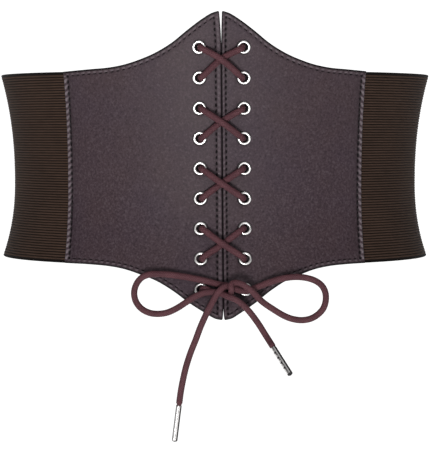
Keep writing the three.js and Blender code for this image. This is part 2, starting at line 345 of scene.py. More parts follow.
@dataclass(frozen=True)
class LeatherFinish:
    """Smooth dark brown leather with a fine grain, black painted shade on turned edges and painted
    highlights on seams.
    """

    name: str = "dark brown leather"
    warm: Colour = (0.065, 0.039, 0.044)
    cool: Colour = (0.056, 0.036, 0.050)
    # edge is the near black of the random dark speckles and of the painted shade; the next colour
    # is for the random light speckles and the painted highlights.
    edge: Colour = (0.004, 0.002, 0.003)
    rubbed: Colour = (0.230, 0.185, 0.205)
    roughness: float = 0.55
    cloud_scale: float = 26
    fine_scale: float = 700
    grain_scale: float = 2300
    pore_scale: float = 1500
    relief_depth: float = 0.00012

    def build(self) -> bpy.types.Material:
        """Builds the material."""
        nodes = MaterialCanvas(self.name)
        place = nodes.place()
        clouds = nodes.noise(place, self.cloud_scale, 3, 0.55)
        grain = nodes.noise(place, self.grain_scale, 3, 0.6)
        fine = nodes.noise(place, self.fine_scale, 4, 0.7)
        inputs = {"Vector": place, "Scale": self.pore_scale}
        pores = nodes.value("ShaderNodeTexVoronoi", "Distance", None, inputs)
        leather = nodes.mix(clouds * 1.6 - 0.3, self.warm, self.cool)
        leather = nodes.mix((fine - 0.52) * 1.6, leather, self.rubbed)
        leather = nodes.mix((0.48 - fine) * 3.5, leather, self.edge)
        # Painted highlight from the mesh's highlight paint, then painted shade from its shade
        # paint.
        leather = nodes.mix(nodes.painted("rub") * (0.55 + fine * 0.7), leather, self.rubbed)
        leather = nodes.mix(nodes.painted("shade"), leather, self.edge)
        rough = self.roughness + (fine - 0.5) * 0.25 + (clouds - 0.5) * 0.12
        relief = grain * 0.6 + pores * 0.5 + fine * 0.4
        return nodes.finish(
            {
                "Base Color": leather,
                "Roughness": rough,
                "Normal": nodes.bump(relief, self.relief_depth, 0.6),
                "Specular IOR Level": 0.22,
            }
        )


@dataclass(frozen=True)
class LiningFinish:
    """The plain woven backing on the inner face of the leather."""

    name: str = "woven lining"
    thread: Colour = (0.052, 0.039, 0.038)
    gap: Colour = (0.018, 0.013, 0.012)
    pitch: float = 0.0007
    cloud_scale: float = 60
    relief_depth: float = 0.00015

    def build(self) -> bpy.types.Material:
        """Builds the material."""
        nodes = MaterialCanvas(self.name)
        place = nodes.place()
        parts = nodes.node("ShaderNodeSeparateXYZ", None, {0: place}).outputs
        across, up = (Value(nodes, parts[axis]) * (TURN / self.pitch) for axis in ("X", "Z"))
        weave = across.sine() * up.sine() * 0.5 + 0.5
        cloud = nodes.noise(place, self.cloud_scale, 3)
        colour = nodes.mix(weave * 0.7 + cloud * 0.3, self.gap, self.thread)
        return nodes.finish(
            {
                "Base Color": colour,
                "Roughness": 0.85 + cloud * 0.1,
                "Normal": nodes.bump(weave, self.relief_depth, 0.6),
                "Specular IOR Level": 0.2,
            }
        )


@dataclass(frozen=True)
class ElasticFinish:
    """Ribbed elastic webbing: threads run along each rib, and painted shade makes the grooves
    between ribs dark.
    """

    name: str = "ribbed elastic"
    # crest is the ribs' lit colour and groove the painted shade between them.
    crest: Colour = (0.104, 0.060, 0.042)
    groove: Colour = (0.0025, 0.0012, 0.0008)
    roughness: float = 0.8
    thread_pitch: float = 0.0009
    streak_scale: Colour = (110, 1500, 1)
    fuzz_scale: Colour = (1500, 4200, 1)
    cloud_scale: float = 30
    relief_depth: float = 0.00016

    def build(self) -> bpy.types.Material:
        """Builds the material."""
        nodes = MaterialCanvas(self.name)
        chart = nodes.value("ShaderNodeUVMap", "UV", {"uv_map": "UVMap"})
        parts = nodes.node("ShaderNodeSeparateXYZ", None, {0: chart}).outputs
        along = Value(nodes, parts["X"])
        rib = nodes.painted("rib")
        streaks = nodes.noise(nodes.stretched(chart, self.streak_scale), 1, 3, 0.6)
        fuzz = nodes.noise(nodes.stretched(chart, self.fuzz_scale), 1, 2, 0.6)
        cloud = nodes.noise(chart, self.cloud_scale, 2)
        threads = ((along * (TURN / self.thread_pitch)).sine() * 0.5 + 0.5) * rib
        # Painted shade: the colour falls towards the groove colour where the rib paint is low.
        lit = rib**2.1 * (0.42 + streaks * 0.9) + (fuzz - 0.5) * 0.3 + (cloud - 0.5) * 0.25
        colour = nodes.mix(lit, self.groove, self.crest)
        relief = fuzz * 0.7 + threads * 0.5
        return nodes.finish(
            {
                "Base Color": colour,
                "Roughness": self.roughness + (fuzz - 0.5) * 0.2,
                "Normal": nodes.bump(relief, self.relief_depth, 0.5),
                "Specular IOR Level": 0.12,
            }
        )


@dataclass(frozen=True)
class LaceFinish:
    """A round braid of reddish brown yarns. The braid's cells follow the lace's own chart."""

    name: str = "braided lace"
    yarn: Colour = (0.088, 0.030, 0.040)
    lit_yarn: Colour = (0.225, 0.088, 0.102)
    crevice: Colour = (0.020, 0.007, 0.010)
    roughness: float = 0.75
    strands: int = 8
    lay: float = 0.0015
    yarns_per_strand: float = 16
    fuzz_scale: float = 3200
    cloud_scale: float = 120
    relief_depth: float = 0.00022

    def build(self) -> bpy.types.Material:
        """Builds the material."""
        nodes = MaterialCanvas(self.name)
        chart = nodes.value("ShaderNodeUVMap", "UV", {"uv_map": "UVMap"})
        parts = nodes.node("ShaderNodeSeparateXYZ", None, {0: chart}).outputs
        along, around = Value(nodes, parts["X"]) / self.lay, Value(nodes, parts["Y"])
        rise, fall = around * self.strands + along, around * self.strands - along
        off_rise, off_fall = (v.fraction() * 2 - 1 for v in (rise, fall))
        over = ((rise.whole() + fall.whole()) * 0.5).fraction() * 2
        first = (1 - off_rise * off_rise) * (1 - off_fall * off_fall * 0.4)
        second = (1 - off_fall * off_fall) * (1 - off_rise * off_rise * 0.4)
        braid = first * (1 - over) + second * over
        across = off_rise * over + off_fall * (1 - over)
        yarns = (across * self.yarns_per_strand).sine() * 0.5 + 0.5
        place = nodes.place()
        fuzz = nodes.noise(place, self.fuzz_scale, 2, 0.6)
        cloud = nodes.noise(place, self.cloud_scale, 2)
        body = nodes.mix(cloud * 0.8 + fuzz * 1.2 - 0.6, self.yarn, self.lit_yarn)
        # Painted shade darkens the braid's crevices.
        colour = nodes.mix((1 - braid) ** 2.2 * 0.85, body, self.crevice)
        relief = braid + yarns * 0.12 + fuzz * 0.15
        return nodes.finish(
            {
                "Base Color": colour,
                "Roughness": self.roughness + (fuzz - 0.5) * 0.2,
                "Normal": nodes.bump(relief, self.relief_depth, 0.8),
                "Specular IOR Level": 0.25,
            }
        )


@dataclass(frozen=True)
class MetalFinish:
    """Bright nickel plate with fine scuffs; painted shade and painted dark reflections make it
    black in its seams and bores.
    """

    name: str = "nickel plate"
    bright: Colour = (0.90, 0.88, 0.87)
    dull: Colour = (0.62, 0.60, 0.60)
    tarnish: Colour = (0.006, 0.005, 0.006)
    roughness: float = 0.24
    scuff_scale: float = 1400
    cloud_scale: float = 240

    def build(self) -> bpy.types.Material:
        """Builds the material."""
        nodes = MaterialCanvas(self.name)
        place = nodes.place()
        scuffs = nodes.noise(place, self.scuff_scale, 4, 0.7)
        cloud = nodes.noise(place, self.cloud_scale, 2)
        colour = nodes.mix((scuffs - 0.5) * 0.9 + (cloud - 0.5) * 0.4, self.bright, self.dull)
        # The mesh's shade paint makes the plate black and matt: painted shade in bores, crimps and
        # mouths, and painted dark reflections along the ends' lines.
        shade = nodes.painted("shade")
        return nodes.finish(
            {
                "Base Color": nodes.mix(shade, colour, self.tarnish),
                "Metallic": 1 - shade,
                "Roughness": self.roughness + scuffs * 0.12 + shade * 0.5,
                "Normal": nodes.bump(scuffs, 0.00002, 0.3),
                "Specular IOR Level": 0.1,
            }
        )


@dataclass(frozen=True)
class ThreadFinish:
    """Dark sewing thread."""

    name: str = "sewing thread"
    thread: Colour = (0.0020, 0.0010, 0.0015)
    lit: Colour = (0.012, 0.008, 0.010)
    twist_scale: float = 2600

    def build(self) -> bpy.types.Material:
        """Builds the material."""
        nodes = MaterialCanvas(self.name)
        twist = nodes.noise(nodes.place(), self.twist_scale, 2)
        return nodes.finish(
            {
                "Base Color": nodes.mix(twist, self.thread, self.lit),
                "Roughness": 0.6 + twist * 0.2,
                "Normal": nodes.bump(twist, 0.00008, 0.5),
                "Specular IOR Level": 0.1,
            }
        )


@dataclass(frozen=True)
class StudioFinish:
    """The pale paper of the floor and the wall behind it."""

    name: str = "studio paper"
    paper: Colour = (0.93, 0.93, 0.93)
    fibre: Colour = (0.97, 0.97, 0.97)
    fibre_scale: float = 40
    glow: float = 1.0

    def build(self) -> bpy.types.Material:
        """Builds the material."""
        nodes = MaterialCanvas(self.name)
        fibres = nodes.noise(nodes.place(), self.fibre_scale, 3)
        colour = nodes.mix(fibres * 0.2, self.paper, self.fibre)
        return nodes.finish(
            {
                "Base Color": colour,
                "Roughness": 0.95,
                "Emission Color": (1.0, 1.0, 1.0, 1.0),
                "Emission Strength": self.glow,
                "Specular IOR Level": 0.1,
            }
        )


@dataclass
class Finishes:
    """Every material of the belt, built once."""

    leather: bpy.types.Material = field(default_factory=lambda: LeatherFinish().build())
    lining: bpy.types.Material = field(default_factory=lambda: LiningFinish().build())
    elastic: bpy.types.Material = field(default_factory=lambda: ElasticFinish().build())
    lace: bpy.types.Material = field(default_factory=lambda: LaceFinish().build())
    metal: bpy.types.Material = field(default_factory=lambda: MetalFinish().build())
    thread: bpy.types.Material = field(default_factory=lambda: ThreadFinish().build())


# Meshes


class MeshDraft:
    """Collects a mesh's points and quads in millimetres, and makes a piece of them."""

    def __init__(self) -> None:
        """Starts empty."""
        self.points: list[Array] = []
        self.paints: dict[str, list[Array]] = {}
        self.quads: list[Array] = []
        self.charts: list[Array] = []
        self.slots: list[Array] = []
        self.count = 0

    def add_points(self, points: Array, **paints: Array) -> Array:
        """Adds points of any layout.

        Args:
            points: The points, with their coordinates last.
            paints: A number for each point under each name.

        Returns:
            The points' numbers, in the same layout.
        """
        shape = points.shape[:-1]
        total = int(np.prod(shape))
        self.points.append(points.reshape(-1, 3))
        for name in set(self.paints) | set(paints):
            if name not in self.paints:
                self.paints[name] = [np.zeros(self.count)]
            paint = paints.get(name, np.zeros(shape))
            self.paints[name].append(np.broadcast_to(paint, shape).reshape(-1))
        numbers = np.arange(self.count, self.count + total).reshape(shape)
        self.count += total
        return numbers

    def add_quads(self, numbers: Array, chart: Array, flip: bool = False, slot: int = 0) -> None:
        """Adds the quads of a grid.

        Args:
            numbers: The grid's point numbers.
            chart: A chart place for each of them.
            flip: Whether the quads face the other way.
            slot: The quads' material slot.
        """
        order = [(0, 0), (1, 0), (1, 1), (0, 1)]
        if flip:
            order.reverse()
        rows, columns = numbers.shape[0] - 1, numbers.shape[1] - 1
        corners = [(slice(i, i + rows), slice(j, j + columns)) for i, j in order]
        quads = np.stack([numbers[c] for c in corners], axis=-1).reshape(-1, 4)
        self.quads.append(quads)
        self.charts.append(np.stack([chart[c] for c in corners], axis=-2).reshape(-1, 4, 2))
        self.slots.append(np.full(len(quads), slot))

    def add_tube(self, points: Array, chart: Array, **paints: Array) -> None:
        """Adds a tube whose two ends are closed by a fold.

        Args:
            points: Its rings, each with its first point again at the end.
            chart: A chart place for each of them.
            paints: A number for each of them under each name.
        """
        shape = points.shape[:-1]
        paints = {name: np.broadcast_to(paint, shape)[:, :-1] for name, paint in paints.items()}
        numbers = self.add_points(points[:, :-1], **paints)
        half = numbers.shape[1] // 2
        numbers = np.concatenate([numbers, numbers[:, :1]], axis=1)
        self.add_quads(numbers, chart)
        for end in (0, -1):
            lid = numbers[end, :-1]
            fold = np.stack([lid[: half + 1], np.roll(lid[::-1], 1)[: half + 1]])
            self.add_quads(fold, np.zeros((*fold.shape, 2)), flip=end == 0)

    def add_wall(self, outer: Array, inner: Array, chart: Array, inner_slot: int) -> None:
        """Closes two grids that face away from each other into one wall.

        Args:
            outer: The outer face's point numbers.
            inner: The inner face's, in the same order.
            chart: A chart place for each point of a face.
            inner_slot: The material slot of the inner face.
        """
        self.add_quads(outer, chart)
        self.add_quads(inner, chart, flip=True, slot=inner_slot)
        borders = [(0, slice(None), False), (-1, slice(None), True)]
        for row, column, flip in borders:
            for flat, turned in ((outer, False), (outer, True)):
                pair = (outer.T, inner.T) if turned else (outer, inner)
                places = chart.transpose(1, 0, 2) if turned else chart
                strip = np.stack([pair[1][row, column], pair[0][row, column]])
                edge = np.stack([places[row, column]] * 2)
                self.add_quads(strip, edge, flip=flip == turned)

    def build(self, name: str, materials: Sequence[bpy.types.Material]) -> bpy.types.Object:
        """Makes the piece, its faces outwards and its place in its mesh."""
        points = np.concatenate(self.points)
        quads = np.concatenate(self.quads)
        charts = np.concatenate(self.charts)
        first, second, third, fourth = (points[quads[:, corner]] for corner in range(4))
        half = np.einsum("ij,ij->i", first, np.cross(second, third))
        volume = (half + np.einsum("ij,ij->i", first, np.cross(third, fourth))).sum()
        if volume < 0:
            quads, charts = quads[:, ::-1], charts[:, ::-1]
        mesh = bpy.data.meshes.new(name)
        mesh.from_pydata((points * MM).tolist(), [], quads.tolist())
        layer = mesh.uv_layers.new(name="UVMap")
        layer.data.foreach_set("uv", charts.reshape(-1))
        for label, paint in self.paints.items():
            attribute = mesh.attributes.new(label, "FLOAT", "POINT")
            attribute.data.foreach_set("value", np.concatenate(paint).astype(np.float32))
        for material in materials:
            mesh.materials.append(material)
        mesh.polygons.foreach_set("material_index", np.concatenate(self.slots))
        mesh.shade_smooth()
        return show(name, mesh)


def show(name: str, mesh: bpy.types.Mesh) -> bpy.types.Object:
    """Puts a mesh in the scene as an object at the origin."""
    piece = bpy.data.objects.new(name, mesh)
    bpy.context.scene.collection.objects.link(piece)
    return piece


def settle(piece: bpy.types.Object) -> None:
    """Turns what a piece's modifiers make into its plain mesh."""
    depsgraph = bpy.context.evaluated_depsgraph_get()
    shown = piece.evaluated_get(depsgraph)
    made = bpy.data.meshes.new_from_object(
        shown, preserve_all_data_layers=True, depsgraph=depsgraph
    )
    piece.modifiers.clear()
    piece.data = made
    made.name = piece.name


def outward_line(name: str, lines: Sequence[tuple[Array, Array]], joined: bool) -> bpy.types.Object:
    """An object of bare points that carry the way out of the surface under them.

    Args:
        name: The object's name.
        lines: Points in millimetres with their outward vectors, one pair for each line.
        joined: Whether each line's points are joined by edges.

    Returns:
        The object.
    """
    points = np.concatenate([line for line, _ in lines])
    edges, start = [], 0
    for line, _ in lines:
        if joined:
            edges += [(start + i, start + i + 1) for i in range(len(line) - 1)]
        start += len(line)
    mesh = bpy.data.meshes.new(name)
    mesh.from_pydata((points * MM).tolist(), edges, [])
    outward = mesh.attributes.new("outward", "FLOAT_VECTOR", "POINT")
    outward.data.foreach_set("vector", np.concatenate([way for _, way in lines]).reshape(-1))
    return show(name, mesh)


class GeometryTree:
    """A geometry node tree with named inputs."""

    def __init__(self, name: str, inputs: dict[str, str]) -> None:
        """Makes the tree.

        Args:
            name: Its name.
            inputs: The socket type of each input beside the geometry.
        """
        self.tree = bpy.data.node_groups.new(name, "GeometryNodeTree")
        face = self.tree.interface
        face.new_socket("Geometry", in_out="OUTPUT", socket_type="NodeSocketGeometry")
        face.new_socket("Geometry", in_out="INPUT", socket_type="NodeSocketGeometry")
        self.keys = {
            label: face.new_socket(label, in_out="INPUT", socket_type=kind).identifier
            for label, kind in inputs.items()
        }
        self.nodes = NodeCanvas(self.tree)
        self.inputs = self.nodes.node("NodeGroupInput").outputs

    def input(self, label: str) -> Value:
        """One of the tree's inputs."""
        return Value(self.nodes, self.inputs[label])

    def carried(self, name: str, kind: str) -> Value:
        """What the geometry's points carry under a name."""
        settings, inputs = {"data_type": kind}, {"Name": name}
        return self.nodes.value("GeometryNodeInputNamedAttribute", 0, settings, inputs)

    def end(self, geometry: bpy.types.NodeSocket, material: Value) -> None:
        """Realizes what was made, gives it its material and ends the tree."""
        real = self.nodes.node("GeometryNodeRealizeInstances", None, {"Geometry": geometry})
        inputs = {"Geometry": real.outputs[0], "Material": material}
        painted = self.nodes.node("GeometryNodeSetMaterial", None, inputs)
        self.nodes.node("NodeGroupOutput", None, {0: painted.outputs[0]})

    def apply(self, piece: bpy.types.Object, values: dict[str, Any]) -> None:
        """Runs the tree on a piece with these input values and keeps the result."""
        modifier = piece.modifiers.new(self.tree.name, "NODES")
        modifier.node_group = self.tree
        for label, value in values.items():
            modifier[self.keys[label]] = value
        settle(piece)


def stitch_tree() -> GeometryTree:
    """Sets one stitch after another along lines, each pressed flat on the surface under it."""
    kinds = {label: "NodeSocketFloat" for label in ("Pitch", "Length", "Width", "Height")}
    kinds |= {"Seed": "NodeSocketInt", "Material": "NodeSocketMaterial"}
    tree = GeometryTree("Stitches", kinds)
    nodes = tree.nodes
    curve = nodes.node("GeometryNodeMeshToCurve", None, {"Mesh": tree.inputs["Geometry"]})
    inputs = {"Curve": curve.outputs[0], "Length": tree.input("Pitch")}
    spaced = nodes.node("GeometryNodeResampleCurve", {"mode": "LENGTH"}, inputs)
    inputs = {"Segments": 8, "Rings": 6, "Radius": 0.5}
    thread = nodes.node("GeometryNodeMeshUVSphere", None, inputs)
    smooth = nodes.node("GeometryNodeSetShadeSmooth", None, {"Geometry": thread.outputs[0]})
    tangent = nodes.value("GeometryNodeInputTangent", 0)
    outward = tree.carried("outward", "FLOAT_VECTOR")
    lengthwise = nodes.value(
        "FunctionNodeAlignRotationToVector", 0, {"axis": "X"}, {"Vector": tangent}
    )
    flat = nodes.value(
        "FunctionNodeAlignRotationToVector",
        0,
        {"axis": "Z", "pivot_axis": "X"},
        {"Rotation": lengthwise, "Vector": outward},
    )
    jitter = nodes.value(
        "FunctionNodeRandomValue",
        1,
        {"data_type": "FLOAT"},
        {2: 0.88, 3: 1.1, "Seed": tree.input("Seed")},
    )
    sizes = {
        "X": tree.input("Length") * jitter,
        "Y": tree.input("Width") * jitter,
        "Z": tree.input("Height"),
    }
    scale = nodes.value("ShaderNodeCombineXYZ", 0, None, sizes)
    inputs = {
        "Points": spaced.outputs[0],
        "Instance": smooth.outputs[0],
        "Rotation": flat,
        "Scale": scale,
    }
    placed = nodes.node("GeometryNodeInstanceOnPoints", None, inputs)
    tree.end(placed.outputs[0], tree.input("Material"))
    return tree


def ring_tree() -> GeometryTree:
    """Sets one ring on each point, square to the surface under it."""
    tree = GeometryTree("Rings", {"Ring": "NodeSocketObject", "Material": "NodeSocketMaterial"})
    nodes = tree.nodes
    ring = nodes.node("GeometryNodeObjectInfo", None, {"Object": tree.input("Ring")})
    outward = tree.carried("outward", "FLOAT_VECTOR")
    turned = nodes.value(
        "FunctionNodeAlignRotationToVector", 0, {"axis": "Z"}, {"Vector": outward}
    )
    inputs = {
        "Points": tree.inputs["Geometry"],
        "Instance": ring.outputs["Geometry"],
        "Rotation": turned,
    }
    placed = nodes.node("GeometryNodeInstanceOnPoints", None, inputs)
    tree.end(placed.outputs[0], tree.input("Material"))
    return tree


def rib_tree() -> GeometryTree:
    """Presses the grooves between an elastic's ribs into a plain wall.

    The wall carries its rise over the lower edge and a mask that is 0 along its selvages. The
    ribs' height over the grooves, from 0 to 1, is left on it under the name rib.
    """
    kinds = {label: "NodeSocketFloat" for label in ("Pitch", "Depth")}
    tree = GeometryTree("Ribs", {**kinds, "Material": "NodeSocketMaterial"})
    nodes = tree.nodes
    rise, ribbed = (tree.carried(name, "FLOAT") for name in ("rise", "ribbed"))
    crest = (rise / tree.input("Pitch") * math.pi).sine().size() ** 0.75
    height = crest * ribbed
    depth = (height - 1) * tree.input("Depth")
    normal = nodes.value("GeometryNodeInputNormal", 0)
    settings = {"operation": "SCALE"}
    offset = nodes.value("ShaderNodeVectorMath", 0, settings, {0: normal, "Scale": depth})
    inputs = {"Geometry": tree.inputs["Geometry"], "Name": "rib", "Value": height}
    settings = {"data_type": "FLOAT", "domain": "POINT"}
    stored = nodes.node("GeometryNodeStoreNamedAttribute", settings, inputs)
    inputs = {"Geometry": stored.outputs[0], "Offset": offset}
    pressed = nodes.node("GeometryNodeSetPosition", None, inputs)
    tree.end(pressed.outputs[0], tree.input("Material"))
    return tree


# The form


@dataclass(frozen=True)
class WaistForm:
    """The waist that the belt goes round, and how the belt flares away from it."""

    width: float = 278.4
    depth: float = 198.4
    side_rise: float = 73.3
    side_drop: float = 52.5
    top_flare: float = 9.3
    bottom_flare: float = 8.5
    flare_bend: float = 2.2
    depth_flare_share: float = 0.8

    def flare(self, z: Array) -> Array:
        """How far the belt stands out from the waist: curved to the sides' edges, then straight."""
        z = np.asarray(z, float)
        reach = np.where(z > 0, self.side_rise, self.side_drop)
        spread = np.where(z > 0, self.top_flare, self.bottom_flare)
        share = np.abs(z) / reach
        curved = np.minimum(share, 1) ** self.flare_bend
        return spread * (curved + self.flare_bend * np.maximum(share - 1, 0))

    def half_width(self, z: Array) -> Array:
        """The inner face's half width at a height."""
        return self.width / 2 + self.flare(z)

    def around(self, angle: Array, z: Array, lift: Array) -> Array:
        """Points round the body.

        Args:
            angle: The angle from the front, towards the picture's right.
            z: The height.
            lift: The distance out of the inner face.

        Returns:
            The points, with their coordinates last.
        """
        angle, z, lift = np.broadcast_arrays(angle, z, lift)
        a = self.half_width(z)
        b = self.depth / 2 + self.depth_flare_share * self.flare(z)
        out = unit(np.stack([np.sin(angle) / a, -np.cos(angle) / b], axis=-1))
        x = a * np.sin(angle) + out[..., 0] * lift
        y = -b * np.cos(angle) + out[..., 1] * lift
        return np.stack([x, y, z], axis=-1)

    def front_angle(self, x: Array, z: Array) -> Array:
        """The angle of a point on the front half that lies x to the right of the middle."""
        return np.arcsin(x / self.half_width(z))


class PeakRow(NamedTuple):
    """What is left of the two peaks at a share of their reach away from the closure."""

    away: float
    top: float
    bottom: float


PEAK_ROWS = (
    PeakRow(0.0, 1.0, 1.0),
    PeakRow(0.05, 0.955, 0.965),
    PeakRow(0.1, 0.875, 0.88),
    PeakRow(0.2, 0.68, 0.69),
    PeakRow(0.3, 0.467, 0.468),
    PeakRow(0.4, 0.305, 0.29),
    PeakRow(0.5, 0.19, 0.175),
    PeakRow(0.6, 0.107, 0.08),
    PeakRow(0.7, 0.06, 0.03),
    PeakRow(0.8, 0.04, 0.01),
    PeakRow(1.0, 0.0, 0.0),
)


@dataclass(frozen=True)
class Gape:
    """How far each panel draws back from the closure towards a peak, and over what depth."""

    left: float
    right: float
    depth: float

    def at(self, side: Side, share: Array) -> Array:
        """A panel's distance from the closure, at a share of the depth."""
        width = self.left if side is Side.LEFT else self.right
        return width * np.maximum(share, 0) ** 1.6


@dataclass(frozen=True)
class Front:
    """The front's layers, the line where its panels meet, and its rows of eyelets."""

    form: WaistForm = WaistForm()
    top_peak: float = 37.7
    bottom_peak: float = 34.2
    corner: float = 1.0
    closure_offset: float = 4.9
    closure_lean: float = -0.008
    top_gape: Gape = Gape(1.3, 0.55, 22)
    bottom_gape: Gape = Gape(0.6, 0.6, 8)
    seam_reach: float = 95.4
    seam_flare_share: float = 0.25
    elastic: float = 1.5
    lap: float = 0.4
    leather: float = 1.8
    rows: int = 9
    first_row: float = 88.1
    row_pitch: float = 19.43
    column_spacing: float = 28.2

    @property
    def lift(self) -> float:
        """The distance from the waist's inner face to the leather's own inner face."""
        return self.elastic + self.lap

    @property
    def face(self) -> float:
        """The distance from the waist's inner face to the leather's outer face."""
        return self.lift + self.leather

    def closure(self, z: Array) -> Array:
        """How far to the right the panels meet at a height."""
        return self.closure_offset + self.closure_lean * z

    def seam(self, z: Array) -> Array:
        """How far from the middle the leather's outer edges are at a height."""
        return self.seam_reach + self.seam_flare_share * self.form.flare(z)

    def gape(self, side: Side, z: Array) -> Array:
        """A panel's distance from the line where the two meet."""
        top, bottom = self.top_gape, self.bottom_gape
        above = (z - self.form.side_rise - self.top_peak + top.depth) / top.depth
        below = (-z - self.form.side_drop - self.bottom_peak + bottom.depth) / bottom.depth
        return top.at(side, above) + bottom.at(side, below)

    def eyelet(self, side: Side, row: int) -> tuple[float, float]:
        """Where an eyelet of a row is, to the right of the middle and in height."""
        z = self.first_row - row * self.row_pitch
        return self.closure(z) + side.value * self.column_spacing / 2, z

    def on_leather(self, x: Array, z: Array, height: Array) -> tuple[Array, Array]:
        """Places over the leather's outer face.

        Args:
            x: The distance to the right of the middle.
            z: The height at which the face is met.
            height: The distance over the face, along its normal.

        Returns:
            The points, and the way out of the face there.
        """
        nudge = 0.5
        form = self.form
        foot = form.around(form.front_angle(x, z), z, self.face)
        along = form.around(form.front_angle(x + nudge, z), z, self.face) - foot
        up = form.around(form.front_angle(x, z + nudge), z + nudge, self.face) - foot
        out = unit(np.cross(along, up))
        return foot + out * np.asarray(height)[..., None], out


# The leather front


@dataclass(frozen=True)
class Sewing:
    """A row of stitches along one edge: how far in it is, how it pulls the leather, and the painted
    shade and painted highlights that it leaves.
    """

    inset: float
    pitch: float = 3.75
    groove: float = 0.34
    groove_width: float = 0.8
    puff: float = 0.26
    pucker: float = 0.5
    # Painted highlight on the puffed band between the row and the edge.
    rub: float = 0.5
    # Painted shade round the stitch holes and along the row.
    spot: float = 0.93
    spot_width: float = 0.66
    seat: float = 0.35
    # Painted highlight: a glint streak beside the row.
    streak: float = 0.0
    groove_mean: float = 0.62
    groove_swing: float = 0.38
    spot_rise: tuple[float, float] = (-0.5, 0.3)
    seat_width: float = 0.5
    streak_inset: float = 1.0
    streak_width: float = 0.45
    streak_rise: tuple[float, float] = (-0.2, 0.5)
    bead_lag: float = 2.4
    glow_from: float = 0.45
    glow_most: float = 1.4


class SewnEdge(NamedTuple):
    """One edge of a panel on its grid: distances from it, along it and where its row runs."""

    sewing: Sewing
    distance: Array
    along: Array
    mask: Array

    def pull(self) -> tuple[Array, Array, Array]:
        """What the row does to the leather.

        Returns:
            The relief that it adds, and the least painted shade and painted highlight that it
            leaves.
        """
        sewing = self.sewing
        off = self.distance - sewing.inset
        swing = np.cos(TURN * self.along)
        groove = ridge(off, sewing.groove_width)
        groove = groove * (sewing.groove_mean - sewing.groove_swing * swing)
        band = np.clip(self.distance / sewing.inset, 0, 1)
        crest = np.sin(math.pi * band)
        bead = 1 + sewing.pucker * np.cos(TURN * self.along - sewing.bead_lag * band)
        relief = sewing.puff * crest * bead - sewing.groove * groove
        # Painted shade: dark spots round the stitch holes and a dark line along the row.
        spot = sewing.spot * ridge(off, sewing.spot_width, 4) * smoothstep(*sewing.spot_rise, swing)
        shade = np.maximum(spot, sewing.seat * ridge(off, sewing.seat_width))
        # Painted highlights: a glint streak beside the row, and a lit crest on the puffed band.
        streak = ridge(off + sewing.streak_inset, sewing.streak_width, 4)
        streak = sewing.streak * streak * smoothstep(*sewing.streak_rise, swing)
        glow = sewing.rub * crest**1.5 * np.clip(bead - sewing.glow_from, 0, sewing.glow_most)
        return relief * self.mask, shade * self.mask, np.maximum(streak, glow) * self.mask


